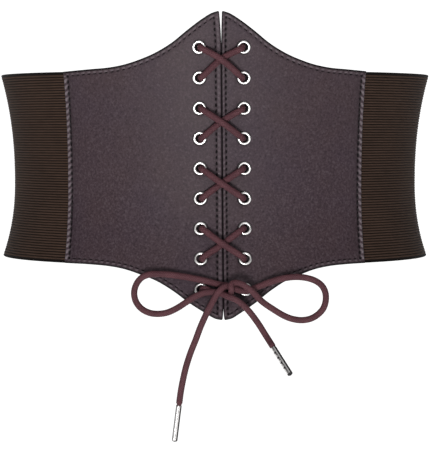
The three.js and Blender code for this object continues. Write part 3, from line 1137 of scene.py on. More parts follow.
@dataclass
class LeatherPanel:
    """A leather front panel with turned edges, sewn all round and pierced by nine eyelets."""

    front: Front
    side: Side
    reach: float
    centre_sewing: Sewing
    edge_sewing: Sewing = Sewing(
        3.2, 4.1, rub=0.15, spot=0.8, spot_width=0.4, seat=0.12, streak=0.65
    )
    seam_sewing: Sewing = Sewing(2.9, 4.0, 0.45, 0.8, 0.42, 0.8, 1.5, spot_width=0.9)
    # Painted shade: beside the seam, along the turned edges and round the rings.
    seam_dark: float = 0.3
    seam_shade_width: float = 5.0
    seam_shade_start: float = 3.4
    edge_dark: float = 0.97
    edge_rim: tuple[float, float] = (0.9, 1.6)
    centre_turn: float = 0.7
    seam_turn: float = 1.4
    raw_edge: float = 0.05
    edge_roll: float = 0.8
    inner_roll: float = 0.3
    hole: float = 3.05
    lining: float = 0.4
    dimple: float = 0.22
    dimple_rim: tuple[float, float] = (4.2, 6.4)
    ring_rim: tuple[float, float] = (4.5, 5.05)
    stitch_sink: float = 0.08
    stitch_length: float = 2.3
    border_steps: tuple[float, ...] = (
        0, 0.08, 0.22, 0.45, 0.8, 1.2, 1.6, 2.0, 2.4, 2.8, 3.2, 3.6, 4.0, 4.5, 5.2, 6.1, 7.2,
    )  # fmt: skip
    middle_columns: int = 92
    middle_rows: int = 186

    @property
    def span(self) -> float:
        """The distance from the closure to the seam, as the columns count it."""
        return self.front.seam_reach - self.side.value * self.front.closure_offset

    def columns(self) -> Array:
        """The columns' distances from the closure."""
        border = np.array(self.border_steps)
        inner = np.linspace(border[-1], self.span - border[-1], self.middle_columns + 1)
        return np.concatenate([border[:-1], inner, (self.span - border[:-1])[::-1]])

    def peak(self, away: Array, top: bool) -> Array:
        """The height of an edge's flat level and peak together, without its rounded corner."""
        table = np.array(PEAK_ROWS)
        share = np.minimum(away / self.reach, 1)
        form = self.front.form
        flat, peak = (
            (form.side_rise, self.front.top_peak)
            if top
            else (form.side_drop, self.front.bottom_peak)
        )
        return flat + peak * smooth_lookup(table[:, 0], table[:, 1 if top else 2], share)

    def slope(self, away: Array, top: bool) -> Array:
        """How much longer a vertical distance from the edge is than a square one."""
        nudge = 0.5
        run = self.peak(away + nudge, top) - self.peak(np.maximum(away - nudge, 0), top)
        return np.hypot(1, run / (2 * nudge))

    def place(self, away: Array, z: Array, lift: Array) -> Array:
        """Points of the panel.

        Args:
            away: The distance from the closure, as the columns count it.
            z: The height.
            lift: The distance out of the waist's inner face.

        Returns:
            The points, with their coordinates last.
        """
        inner = self.front.closure(z) + self.side.value * self.front.gape(self.side, z)
        x = inner + (self.side.value * self.front.seam(z) - inner) * away / self.span
        return self.front.form.around(self.front.form.front_angle(x, z), z, lift)

    def outward(self, away: Array, z: Array) -> Array:
        """The way out of the outer face."""
        nudge = 0.4
        face = self.front.face
        foot = self.place(away, z, face)
        along = self.place(away + nudge, z, face) - foot
        up = self.place(away, z + nudge, face) - foot
        return unit(np.cross(along, up)) * self.side.value

    def row_line(self, edge: str) -> tuple[Array, Array]:
        """The row of stitches along an edge, as distances from the closure and heights."""
        count = 160
        centre, seam = self.centre_sewing.inset, self.span - self.seam_sewing.inset
        if edge in ("top", "bottom"):
            top = edge == "top"
            sewing = self.edge_sewing
            away = np.linspace(centre + 0.5 * sewing.pitch, seam, count)
            height = self.peak(away, top) - sewing.inset * self.slope(away, top)
            return away, height if top else -height
        at = np.array(centre if edge == "centre" else seam)
        inset = self.edge_sewing.inset
        top, bottom = (self.peak(at, up) - inset * self.slope(at, up) for up in (True, False))
        height = np.linspace(-bottom, top, count)
        return np.full(count, float(at)), height

    def sewn_edges(self, away: Array, z: Array) -> list[SewnEdge]:
        """Each edge's distances on a grid of the panel."""
        distances = {
            "centre": away,
            "seam": self.span - away,
            "top": (self.peak(away, True) - z) / self.slope(away, True),
            "bottom": (self.peak(away, False) + z) / self.slope(away, False),
        }
        sewings = {
            "centre": self.centre_sewing,
            "seam": self.seam_sewing,
            "top": self.edge_sewing,
            "bottom": self.edge_sewing,
        }
        ends = {"centre": ("top", "bottom"), "seam": ("top", "bottom")}
        made = []
        for edge, sewing in sewings.items():
            line_away, line_z = self.row_line(edge)
            lengths = arc_lengths(self.place(line_away, line_z, self.front.face))
            level = (away, line_away) if edge in ("top", "bottom") else (z, line_z)
            count = int(lengths[-1] / sewing.pitch)
            along = np.interp(*level, lengths) * count / lengths[-1]
            mask = np.ones_like(away)
            for other in ends.get(edge, ("centre", "seam")):
                inset = sewings[other].inset
                mask = mask * smoothstep(inset - 0.9, inset + 0.1, distances[other])
            made.append(SewnEdge(sewing, distances[edge], along, mask))
        return made

    def eyelet_distance(self, away: Array, z: Array) -> Array:
        """How far each point of a grid is from the nearest eyelet's axis."""
        points = self.place(away, z, self.front.face)
        nearest = np.full(away.shape, np.inf)
        for row in range(self.front.rows):
            x, level = self.front.eyelet(self.side, row)
            nearest = np.minimum(nearest, np.hypot(points[..., 0] - x, z - level))
        return nearest

    def build_leather(self, finishes: Finishes) -> bpy.types.Object:
        """The panel: puffed between its stitches and its edges, and pressed in under the rings."""
        columns = self.columns()
        border = np.array(self.border_steps)
        top, bottom = self.peak(columns, True), self.peak(columns, False)
        cut = rounded_off(columns, self.front.corner)
        top_steps = np.outer(self.slope(columns, True), border)
        bottom_steps = np.outer(self.slope(columns, False), border)
        high, low = (top - cut)[:, None] - top_steps, (cut - bottom)[:, None] + bottom_steps
        share = np.linspace(0, 1, self.middle_rows + 1)[None, 1:-1]
        middle = low[:, -1:] + (high[:, -1:] - low[:, -1:]) * share
        z = np.concatenate([low, middle, high[:, ::-1]], axis=1)
        away = np.broadcast_to(columns[:, None], z.shape)

        edges = self.sewn_edges(away, z)
        centre, seam, upper, lower = (edge.distance for edge in edges)
        radius = self.front.corner
        edge = seam
        for level in (upper, lower):
            rounded = radius - np.hypot(radius - centre, radius - level)
            corner = (centre < radius) & (level < radius)
            edge = np.minimum(edge, np.where(corner, rounded, np.minimum(centre, level)))
        edge = np.maximum(edge, 0)

        relief = self.undulation(away, z)
        rub = np.zeros(z.shape)
        # Painted shade: near black along the turned edges and the closure, and a softer band beside
        # the seam.
        turned_in = np.minimum(centre + self.centre_turn, seam + self.seam_turn)
        turned_in = np.minimum(turned_in, np.minimum(upper, lower))
        shade = self.edge_dark * (1 - smoothstep(*self.edge_rim, turned_in))
        beside_row = seam > self.seam_shade_start
        shade = np.maximum(shade, self.seam_dark * ridge(seam, self.seam_shade_width) * beside_row)
        # Each row adds its relief, its painted shade and its painted highlight.
        for sewn in edges:
            pulled, dark, light = sewn.pull()
            relief = relief + pulled
            shade = np.maximum(shade, dark)
            rub = np.maximum(rub, light)
        # Painted shade: a dark ring round each eyelet, where the leather is pressed in under it.
        near = self.eyelet_distance(away, z)
        relief = relief - self.dimple * (1 - smoothstep(*self.dimple_rim, near))
        shade = np.maximum(shade, self.edge_dark * (1 - smoothstep(*self.ring_rim, near)))
        relief = relief * smoothstep(0, self.edge_roll, edge) - rounded_off(edge, self.edge_roll)

        outer = self.place(away, z, self.front.face + relief)
        inner = self.place(away, z, self.front.lift + rounded_off(edge, self.inner_roll))
        chart = np.stack([away, z], axis=-1) * MM
        draft = MeshDraft()
        outer_numbers = draft.add_points(outer, shade=shade, rub=rub)
        # Painted shade darkens the cut edge between the two faces.
        inner_numbers = draft.add_points(inner, shade=np.where(edge < self.raw_edge, 0.95, 0))
        draft.add_wall(outer_numbers, inner_numbers, chart, inner_slot=1)
        name = f"leather_panel_{self.side.word}"
        panel = draft.build(name, [finishes.leather, finishes.lining])
        self.pierce(panel)
        return panel

    def undulation(self, away: Array, z: Array) -> Array:
        """The slow waves of leather that is worn and not pressed flat."""
        low, across, up = 0.10, 13.0, 19.0
        long_low, long_across, long_up = 0.08, 29.0, 41.0
        waves = np.sin(away / across + 0.8) * np.sin(z / up + 0.5 * self.side.value)
        return low * waves + long_low * np.sin(away / long_across - z / long_up)

    def pierce(self, panel: bpy.types.Object) -> None:
        """Cuts the holes of the eyelets down to the lining, which only the lace goes through."""
        # The cutter carries painted shade, which makes the holes' cut faces black.
        sides, reach, point, black = 24, 4.0, 1e-3, np.array(0.99)
        depth = self.front.leather - self.lining
        angles = np.arange(sides + 1) * TURN / sides
        draft = MeshDraft()
        for row in range(self.front.rows):
            foot, out = self.front.on_leather(*self.front.eyelet(self.side, row), 0.0)
            first = unit(np.cross(out, (0, 0, 1)))
            second = np.cross(out, first)
            spoke = np.cos(angles)[:, None] * first + np.sin(angles)[:, None] * second
            levels = [(-depth, point), (-depth, 1), (reach, 1), (reach, point)]
            rings = [foot + out * level + spoke * self.hole * share for level, share in levels]
            draft.add_tube(np.stack(rings), np.zeros((len(rings), sides + 1, 2)), shade=black)
        cutter = draft.build("cutter", [])
        modifier = panel.modifiers.new("holes", "BOOLEAN")
        modifier.object = cutter
        modifier.operation = "DIFFERENCE"
        modifier.solver = "EXACT"
        settle(panel)
        bpy.data.objects.remove(cutter)

    def build_stitches(
        self, finishes: Finishes, tree: GeometryTree, name: str, edges: Sequence[str], width: float
    ) -> bpy.types.Object:
        """The thread of some of the rows, sunk in its groove.

        Args:
            finishes: The belt's materials.
            tree: The tree that sets the stitches.
            name: The piece's name, without its side.
            edges: The edges whose rows it makes.
            width: The thread's width.

        Returns:
            The piece.
        """
        lines = []
        for edge in edges:
            away, z = self.row_line(edge)
            lift = self.front.face + self.undulation(away, z) - self.stitch_sink
            lines.append((self.place(away, z, lift), self.outward(away, z)))
        thread = outward_line(f"{name}_{self.side.word}", lines, joined=True)
        sewing = self.edge_sewing if "top" in edges else self.centre_sewing
        values = {
            "Pitch": sewing.pitch * MM,
            "Length": self.stitch_length * MM,
            "Width": width * MM,
            "Height": 0.6 * width * MM,
            "Seed": 11 + self.side.value,
            "Material": finishes.thread,
        }
        tree.apply(thread, values)
        return thread

    def build_eyelets(
        self, finishes: Finishes, ring: bpy.types.Object, tree: GeometryTree
    ) -> bpy.types.Object:
        """The panel's nine rings."""
        front = self.front
        feet = [front.on_leather(*front.eyelet(self.side, row), 0.0) for row in range(front.rows)]
        line = (np.array([foot for foot, _ in feet]), np.array([out for _, out in feet]))
        rings = outward_line(f"eyelet_rings_{self.side.word}", [line], joined=False)
        tree.apply(rings, {"Ring": ring, "Material": finishes.metal})
        return rings

    def dress(self, finishes: Finishes, trees: Trees, ring: bpy.types.Object) -> None:
        """Builds the panel's pieces and ties them to the frame."""
        word = self.side.word
        leather = self.build_leather(finishes)
        tree = trees.stitches
        upright = ("centre", "seam")
        stitches = self.build_stitches(finishes, tree, "panel_stitches", upright, 1.05)
        trim = self.build_stitches(finishes, tree, "edge_stitches", ("top", "bottom"), 0.7)
        rings = self.build_eyelets(finishes, ring, trees.rings)
        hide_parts(f"panel_{word}")
        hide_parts(*[f"eyelet_{word}_{row + 1}" for row in range(self.front.rows)])
        for piece in (leather, stitches, trim, rings):
            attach(piece, BODY)
            report(piece)
        self.span * 1.08 * MM


@dataclass(frozen=True)
class EyeletRing:
    """A rolled eyelet: a domed flange, a barrel through the leather and a roll behind it."""

    flange: float = 8.7
    bore: float = 5.1
    wall: float = 0.4
    dome: float = 0.95
    roll: float = 8.2
    roll_thickness: float = 0.6
    tuck: float = 0.05
    segments: int = 40

    def profile(self, leather: float) -> Array:
        """The ring's section as radii and heights over the leather's outer face."""
        bore, flange, roll = self.bore / 2, self.flange / 2, self.roll / 2
        middle, half = (flange + bore) / 2, (flange - bore) / 2
        angles = np.linspace(0, math.pi, 11)
        dome = [(middle + half * math.cos(a), self.dome * math.sin(a) ** 0.85) for a in angles]
        back = -leather - self.roll_thickness
        under = [
            (bore, back + 0.15),
            (bore + 0.25, back - 0.05),
            ((roll + bore) / 2, back - 0.1),
            (roll - 0.15, back + 0.15),
            (roll, back + 0.4),
            (roll - 0.3, -leather),
            (bore + self.wall, -leather),
            (bore + self.wall, -self.tuck),
            (flange - 0.1, -self.tuck),
        ]
        return np.array(dome + under)

    def build(self, front: Front) -> bpy.types.Object:
        """One ring round the origin, its axis up."""
        section = self.profile(front.leather)
        section = np.vstack([section, section[:1]])
        angles = np.arange(self.segments + 1) * TURN / self.segments
        x = np.outer(np.cos(angles), section[:, 0])
        y = np.outer(np.sin(angles), section[:, 0])
        z = np.broadcast_to(section[:, 1], x.shape)
        points = np.stack([x, y, z], axis=-1)
        # Painted shade: black in the bore and a thin black line round the flange's rim.
        inner = 1 - smoothstep(self.bore / 2, self.bore / 2 + 0.1, section[:, 0])
        rim = smoothstep(self.flange / 2 - 0.05, self.flange / 2 + 0.05, section[:, 0])
        shade = np.broadcast_to(np.maximum(inner, rim), x.shape)
        draft = MeshDraft()
        numbers = draft.add_points(points[:-1, :-1], shade=shade[:-1, :-1])
        numbers = np.concatenate([numbers, numbers[:1]], axis=0)
        numbers = np.concatenate([numbers, numbers[:, :1]], axis=1)
        draft.add_quads(numbers, np.zeros((*numbers.shape, 2)))
        return draft.build("ring", [])


# The elastic and the back


@dataclass
class ElasticSide:
    """One elastic side, from under the leather to the middle of the back."""

    front: Front
    side: Side
    seam_lap: float = 12
    back_gap: float = 1
    rib_pitch: float = 1.735
    rib_depth: float = 0.42
    steps_per_rib: int = 5
    columns: int = 74
    selvage: float = 1.7
    selvage_fade: tuple[float, float] = (-0.3, 0.4)
    border_steps: tuple[float, ...] = (0, 0.12, 0.35, 0.7, 1.2)
    edge_roll: float = 0.5
    way_round: float = 290

    def build_wall(self, finishes: Finishes, tree: GeometryTree) -> bpy.types.Object:
        """The wall with its ribs and its flat selvages."""
        form = self.front.form
        drop, rise = form.side_drop, form.side_rise
        height = drop + rise
        ribs = round((height - 2 * self.selvage) / self.rib_pitch)
        pitch = (height - 2 * self.selvage) / ribs
        middle = np.linspace(self.selvage, height - self.selvage, ribs * self.steps_per_rib + 1)
        border = np.array(self.border_steps)
        up = np.concatenate([border, middle, (height - border)[::-1]])
        z = (up - drop)[None, :]
        across = np.linspace(0, 1, self.columns + 1)[:, None]
        start = form.front_angle(self.front.seam(z) - self.seam_lap, z)
        end = math.pi - np.arcsin(self.back_gap / 2 / form.half_width(z))
        angle = start + (end - start) * across
        z = np.broadcast_to(z, angle.shape)
        rim = np.minimum(up, height - up)[None, :]
        ends = np.minimum(across, 1 - across) * self.way_round
        fall = rounded_off(np.minimum(rim, ends), self.edge_roll)
        start_rib, end_rib = (self.selvage + fade for fade in self.selvage_fade)
        ribbed = smoothstep(start_rib, end_rib, rim)
        swell = 0.5 * self.rib_depth * (1 - ribbed)
        outer = form.around(self.side.value * angle, z, self.front.elastic - fall + swell)
        inner = form.around(self.side.value * angle, z, fall - swell)
        lengths = np.linalg.norm(np.diff(outer, axis=0), axis=2).cumsum(axis=0)
        along = np.concatenate([np.zeros((1, z.shape[1])), lengths]) * MM
        chart = np.stack([along, np.broadcast_to(up[None, :] * MM, z.shape)], axis=-1)
        draft = MeshDraft()
        rise_mm = np.broadcast_to((up - self.selvage)[None, :] * MM, z.shape)
        faces = [draft.add_points(face, rise=rise_mm, ribbed=ribbed) for face in (outer, inner)]
        draft.add_wall(*faces, chart, inner_slot=0)
        wall = draft.build(f"elastic_side_{self.side.word}", [finishes.elastic])
        values = {"Pitch": pitch * MM, "Depth": self.rib_depth * MM, "Material": finishes.elastic}
        tree.apply(wall, values)
        return wall

    def dress(self, finishes: Finishes, trees: Trees) -> None:
        """Builds the side and ties it to the frame."""
        wall = self.build_wall(finishes, trees.ribs)
        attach(wall, BODY)
        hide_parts(f"elastic_{self.side.word}")
        report(wall)


@dataclass
class BackStrip:
    """The strip over the back joint, sewn down along both of its sides."""

    front: Front
    width: float = 44
    thickness: float = 1.6
    inset: float = 3
    clearance: float = 0.3
    row_insets: tuple[float, float] = (2.4, 18.6)
    row_end: float = 3
    pitch: float = 4.0
    groove: float = 0.28
    groove_width: float = 0.7
    groove_mean: float = 0.6
    groove_swing: float = 0.4
    # Painted highlight beside each row (the next two fields), then painted shade along the edges.
    rub: float = 0.4
    rub_inset: float = 1.1
    edge_dark: float = 0.95
    edge_rim: tuple[float, float] = (0.35, 0.9)
    edge_roll: float = 0.6
    inner_roll: float = 0.3
    fade: float = 0.8
    stitch_sink: float = 0.14
    stitch_size: tuple[float, float, float] = (2.3, 1.05, 0.62)
    border_steps: tuple[float, ...] = (0, 0.12, 0.35, 0.7, 1.1, 1.5, 1.9, 2.3, 2.7, 3.1, 3.6)
    middle_columns: int = 30
    middle_rows: int = 110

    def place(self, across: Array, z: Array, lift: Array) -> Array:
        """Points of the strip, at distances from its middle, heights and lifts over the elastic."""
        form = self.front.form
        angle = math.pi + np.arcsin(across / form.half_width(z))
        return form.around(angle, z, self.front.elastic + self.clearance + lift)

    def build_strip(self, finishes: Finishes) -> bpy.types.Object:
        """The strip with rounded edges and pressed rows."""
        form = self.front.form
        border = np.array(self.border_steps)
        half = self.width / 2
        inner = np.linspace(border[-1] - half, half - border[-1], self.middle_columns)
        across = np.concatenate([border[:-1] - half, inner, (half - border[:-1])[::-1]])
        low, high = self.inset - form.side_drop, form.side_rise - self.inset
        middle = np.linspace(low + border[-1], high - border[-1], self.middle_rows)
        up = np.concatenate([low + border[:-1], middle, (high - border[:-1])[::-1]])
        across, z = np.meshgrid(across, up, indexing="ij")
        from_end = np.minimum(z - low, high - z)
        edge = np.maximum(np.minimum(half - np.abs(across), from_end), 0)
        fall = rounded_off(edge, self.edge_roll)
        relief = np.zeros(z.shape)
        # Painted shade, near black, along the strip's edges.
        shade = self.edge_dark * (1 - smoothstep(*self.edge_rim, edge))
        rub = np.zeros(z.shape)
        swing = np.cos(TURN * (z - low) / self.pitch)
        # Each row presses a groove and leaves a painted highlight band beside it.
        for inset in self.row_insets:
            off = half - np.abs(across) - inset
            groove = ridge(off, self.groove_width) * (self.groove_mean - self.groove_swing * swing)
            relief -= self.groove * groove * smoothstep(self.row_end - 1, self.row_end, from_end)
            rub = np.maximum(rub, self.rub * ridge(off + self.rub_inset, self.groove_width))
        relief = relief * smoothstep(0, self.fade, edge)
        outer = self.place(across, z, self.thickness + relief - fall)
        inner_face = self.place(across, z, np.minimum(fall, self.inner_roll))
        draft = MeshDraft()
        numbers = draft.add_points(outer, shade=shade, rub=rub)
        inner_numbers = draft.add_points(inner_face)
        draft.add_wall(numbers, inner_numbers, np.stack([across, z], axis=-1) * MM, inner_slot=1)
        return draft.build("back_strip", [finishes.leather, finishes.lining])

    def build_stitches(self, finishes: Finishes, tree: GeometryTree) -> bpy.types.Object:
        """The thread of the strip's four rows."""
        form = self.front.form
        end = self.inset + self.row_end
        z = np.linspace(end - form.side_drop, form.side_rise - end, 120)
        lines = []
        for way in (-1, 1):
            for inset in self.row_insets:
                across = np.full(z.shape, way * (self.width / 2 - inset))
                lift = np.full(z.shape, self.thickness - self.stitch_sink)
                foot = self.place(across, z, lift)
                out = unit(self.place(across, z, np.full(z.shape, 5.0)) - foot)
                lines.append((foot, out))
        thread = outward_line("back_strip_stitches", lines, joined=True)
        length, width, height = self.stitch_size
        values = {
            "Pitch": self.pitch * MM,
            "Length": length * MM,
            "Width": width * MM,
            "Height": height * MM,
            "Seed": 23,
            "Material": finishes.thread,
        }
        tree.apply(thread, values)
        return thread

    def dress(self, finishes: Finishes, trees: Trees) -> None:
        """Builds the strip and ties it to the frame."""
        strip = self.build_strip(finishes)
        stitches = self.build_stitches(finishes, trees.stitches)
        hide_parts("back_closure")
        for piece in (strip, stitches):
            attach(piece, BODY)
            report(piece)


# The lace


class CrossBow(NamedTuple):
    """How far up the two strands of a cross are bowed at their middles."""

    over: float
    under: float


# The crosses over the front, from the top one down
CROSS_BOWS = (CrossBow(2.7, 2.6), CrossBow(1.0, 1.5), CrossBow(-0.3, 0.45), CrossBow(-1.1, -0.5))


class LacePlace(NamedTuple):
    """A point on a run of lace: how far along the run, and how high over the leather."""

    out: float
    height: float


# The free end from the left eyelet: through the knot, up round its front, out as the right
# loop, and back behind the front turn as the left tail
LEFT_ROUTE = (
    (-2.4, -116.7, -68.4), (3.5, -116.8, -69.6), (7.6, -117.3, -70.4), (9.8, -118.9, -70.4),
    (10.4, -120.9, -69.3), (10.6, -123.5, -68.1), (10.6, -125.4, -65.8), (10.6, -124.3, -63.2),
    (12.5, -122.9, -62.2), (15.9, -124.1, -62.4), (19.7, -124.6, -64.3), (23.8, -123.9, -67.5),
    (30.0, -122.7, -73.9), (37.0, -121.2, -79.0), (45.3, -119.8, -84.0), (51.0, -118.8, -86.0),
    (56.6, -117.8, -86.6), (62.0, -116.8, -85.6), (66.4, -115.8, -83.1), (69.8, -114.8, -79.4),
    (71.4, -113.8, -74.8), (71.3, -112.9, -69.6), (69.4, -112.2, -65.4), (65.6, -111.9, -62.2),
    (59.4, -111.9, -60.0), (51.2, -112.4, -59.3), (42.0, -113.5, -60.6), (33.5, -115.1, -63.1),
    (26.5, -116.8, -65.9), (21.0, -119.3, -67.6), (15.6, -120.2, -67.3), (10.4, -119.8, -64.9),
    (6.2, -123.0, -64.7), (2.2, -125.6, -68.1), (-0.9, -126.4, -73.2), (-3.7, -126.0, -78.6),
    (-6.5, -125.2, -84.4), (-9.5, -124.2, -91.5), (-12.2, -123.4, -98.9), (-15.5, -122.8, -107.3),
    (-18.4, -122.4, -116.5), (-20.5, -122.1, -125.7), (-21.9, -122.0, -133.5),
    (-22.8, -122.0, -140.7),
)  # fmt: skip

# The free end from the right eyelet: behind the knot to the left loop, and back over the foot
# of the front turn as the right tail
RIGHT_ROUTE = (
    (13.0, -115.6, -65.6), (8.0, -115.2, -64.6), (3.0, -115.9, -63.8), (-3.0, -116.3, -62.2),
    (-9.5, -116.1, -60.7), (-16.2, -115.6, -59.4), (-23.0, -115.0, -58.4), (-29.5, -114.3, -57.6),
    (-36.0, -113.7, -57.3), (-41.8, -113.3, -57.6), (-46.8, -113.1, -59.6), (-50.2, -112.9, -63.6),
    (-51.8, -113.2, -69.2), (-50.7, -113.9, -74.9), (-47.3, -114.8, -79.3), (-42.2, -115.9, -82.0),
    (-36.7, -116.8, -82.7), (-30.6, -117.7, -81.8), (-24.8, -118.6, -79.2), (-18.6, -119.4, -75.2),
    (-12.2, -120.4, -71.0), (-5.2, -121.0, -68.6), (1.0, -121.0, -68.5), (5.2, -122.2, -69.6),
    (8.6, -124.9, -70.9), (11.6, -125.4, -71.9), (14.8, -124.6, -73.6), (18.6, -123.0, -76.9),
    (22.6, -122.3, -81.2), (27.6, -122.6, -87.9), (32.9, -124.1, -96.2), (37.3, -130.6, -102.7),
)  # fmt: skip


@dataclass
class Lace:
    """The round braided lace: its held stretch through the eyelets, and its two free ends."""

    front: Front
    finish: LaceFinish = LaceFinish()
    diameter: float = 3.8
    loose_diameter: float = 4.05
    held_diameter: float = 4.05
    knot: tuple[float, float, float] = (8.5, -121.0, -67.5)
    knot_reach: tuple[float, float] = (9, 18)
    clearance: float = 0.3
    bend_slack: float = 0.25
    hump_shoulder: float = 0.8
    exit_height: float = 0.2
    ring_dome: float = 0.9
    ring_roll: float = 0.6
    ring_clearance: float = 0.35
    bore: float = 5.4
    pull: float = 0.95
    around: int = 28
    step: float = 0.42
    relief: float = 0.16
    tuck: float = 1.8
    tucked_radius: float = 1.4
    tuck_fade: tuple[float, float] = (-0.2, 1.6)
    relief_level: float = 0.4

    @property
    def seat(self) -> float:
        """The height of the middle of a lace that lies on the leather."""
        return self.clearance + self.diameter / 2

    def bend_over(self, ring: float) -> list[LacePlace]:
        """How the lace bends over an eyelet's ring of that thickness."""
        stand = self.ring_clearance + ring + self.clearance
        height = stand + self.diameter / 2 + self.bend_slack
        return [LacePlace(0.15 * self.bore, 0.73 * height), LacePlace(0.6 * self.bore, height)]

    def through(self, side: Side, row: int) -> tuple[float, float]:
        """Where the pulled lace goes through an eyelet: a little towards the closure."""
        x, z = self.front.eyelet(side, row)
        return x - side.value * self.pull, z

    def run(
        self,
        start: tuple[float, float],
        end: tuple[float, float],
        outside: bool,
        over: bool,
        bow: float,
    ) -> list[Array]:
        """The lace from one eyelet to the next.

        Args:
            start: Where it leaves the first eyelet, to the right of the middle and in height.
            end: Where it enters the next.
            outside: Whether it runs over the leather's outer face.
            over: Whether it passes over the other strand.
            bow: How far up its middle is bowed.

        Returns:
            The run's points.
        """
        length = math.dist(start, end)
        bend = self.bend_over(self.ring_dome if outside else self.ring_roll)
        crest = self.seat + self.diameter + self.clearance if over else self.seat
        middle = [LacePlace(length / 2, crest)]
        if over:
            shoulder = self.seat + self.hump_shoulder * (crest - self.seat)
            middle.insert(0, LacePlace(length / 2 - self.diameter, shoulder))
            middle.append(LacePlace(length / 2 + self.diameter, shoulder))
        back = [LacePlace(length - place.out, place.height) for place in reversed(bend)]
        points = []
        for place in [*bend, *middle, *back]:
            share = place.out / length
            x, z = (a + (b - a) * share for a, b in zip(start, end))
            z += bow * math.sin(math.pi * share)
            height = place.height if outside else -self.front.leather - place.height
            points.append(self.front.on_leather(x, z, height)[0])
        return points

    def held_route(self) -> Array:
        """Up one strand from the lowest row, behind the top row, and down the other."""
        rows = range(self.front.rows)
        sides = (Side.LEFT, Side.RIGHT)
        climb = [self.through(sides[row % 2], row) for row in reversed(rows)]
        fall = [self.through(sides[1 - row % 2], row) for row in rows]
        stops = climb + fall
        points = [self.front.on_leather(*stops[0], self.exit_height)[0]]
        for i, stop in enumerate(stops):
            points.append(self.front.on_leather(*stop, -self.front.leather / 2)[0])
            if i < len(stops) - 1:
                outside, over = i % 2 == 1, i < self.front.rows - 1
                row = self.front.rows - 2 - i if over else i - self.front.rows
                bow = CROSS_BOWS[row // 2][0 if over else 1] if outside else 0.0
                points += self.run(stop, stops[i + 1], outside, over, bow)
        points.append(self.front.on_leather(*stops[-1], self.exit_height)[0])
        return np.array(points)

    def free_route(self, side: Side, route: Sequence[tuple[float, float, float]]) -> Array:
        """A free end's points, from just over its eyelet."""
        start = self.through(side, self.front.rows - 1)
        length = math.dist(start, (route[0][0], route[0][2]))
        first = self.exit_height + 0.05
        rise = [LacePlace(0, first), LacePlace(0, first + self.diameter / 8)]
        points = []
        for place in [*rise, *self.bend_over(self.ring_dome)]:
            share = place.out / length
            x = start[0] + (route[0][0] - start[0]) * share
            z = start[1] + (route[0][2] - start[1]) * share
            points.append(self.front.on_leather(x, z, place.height)[0])
        return np.array([*points, *route])

    def braid(self, along: Array, around: Array) -> Array:
        """The braid's relief from 0 to 1, along the lace in millimetres and around it in turns."""
        lay = self.finish.lay / MM
        rise = around * self.finish.strands + along / lay
        fall = around * self.finish.strands - along / lay
        off_rise, off_fall = (2 * (v - np.floor(v)) - 1 for v in (rise, fall))
        over = (np.floor(rise) + np.floor(fall)) % 2
        first = (1 - off_rise**2) * (1 - 0.4 * off_fall**2)
        second = (1 - off_fall**2) * (1 - 0.4 * off_rise**2)
        return first * (1 - over) + second * over

    def tube(
        self, name: str, path: Array, tucked: bool, material: bpy.types.Material
    ) -> bpy.types.Object:
        """The lace round a path.

        Args:
            name: The piece's name.
            path: The middle of the lace, in millimetres.
            tucked: Whether its far end narrows into a metal end.
            material: Its finish.

        Returns:
            The piece.
        """
        along = arc_lengths(path)
        tangents = unit(np.gradient(path, axis=0))
        upright = abs(tangents[0][2]) > 0.9
        aside = (1.0, 0.0, 0.0) if upright else (0.0, 0.0, 1.0)
        normals = [unit(np.cross(tangents[0], aside))]
        for tangent in tangents[1:]:
            normals.append(unit(normals[-1] - tangent * (normals[-1] @ tangent)))
        normals = np.array(normals)
        sides = np.cross(tangents, normals)
        turns = np.arange(self.around + 1) / self.around
        spoke = (
            normals[:, None] * np.cos(TURN * turns)[None, :, None]
            + sides[:, None] * np.sin(TURN * turns)[None, :, None]
        )
        radius = np.full(len(path), (self.diameter if tucked else self.held_diameter) / 2)
        if tucked:
            away = np.linalg.norm(path - np.array(self.knot), axis=1)
            swell = (self.loose_diameter - self.diameter) / 2
            radius = radius + swell * smoothstep(*self.knot_reach, away)
            left = along[-1] - along
            narrow, wide = (self.tuck + fade for fade in self.tuck_fade)
            share = smoothstep(narrow, wide, left)
            radius = self.tucked_radius + (radius - self.tucked_radius) * share
        mesh_along, mesh_turns = np.meshgrid(along, turns, indexing="ij")
        bulge = self.relief * (self.braid(mesh_along, mesh_turns) - self.relief_level)
        bulge = bulge * np.minimum(1, radius / self.diameter * 2)[:, None]
        points = path[:, None] + spoke * (radius[:, None] + bulge)[..., None]
        chart = np.stack([mesh_along * MM, mesh_turns], axis=-1)
        draft = MeshDraft()
        draft.add_tube(points, chart)
        return draft.build(name, [material])

    def dress(self, finishes: Finishes) -> None:
        """Builds the lace and its metal ends, free ends first, and ties them to the frame."""
        ends = (
            (Side.LEFT, LEFT_ROUTE, Aglet(LEFT_AGLET_LINES)),
            (Side.RIGHT, RIGHT_ROUTE, Aglet(RIGHT_AGLET_LINES, RIGHT_CRIMPS)),
        )
        for side, route, aglet in ends:
            stations = self.free_route(side, route)
            way = unit(stations[-1] - stations[-2])
            stations = np.vstack([stations, stations[-1] + way * self.tuck])
            path = smooth_path(stations, self.step)
            cord = self.tube(f"lace_tail_{side.word}", path, True, finishes.lace)
            cap = aglet.build(f"aglet_tube_{side.word}", np.array(route[-1]), way, finishes.metal)
            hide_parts(f"lace_end_{side.word}")
            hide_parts(f"aglet_{side.word}")
            for piece, slot in ((cord, "lace"), (cap, "metal")):
                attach(piece, BODY)
                report(piece)
        path = smooth_path(self.held_route(), self.step)
        held = self.tube("lace_through_eyelets", path, False, finishes.lace)
        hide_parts("lacing")
        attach(held, BODY)
        report(held)


class SeamLine(NamedTuple):
    """A line rolled along a metal end: its turn from the front, half width, depth, and darkness of
    painted shade and dark reflection.
    """

    turn: float
    width: float
    depth: float
    dark: float


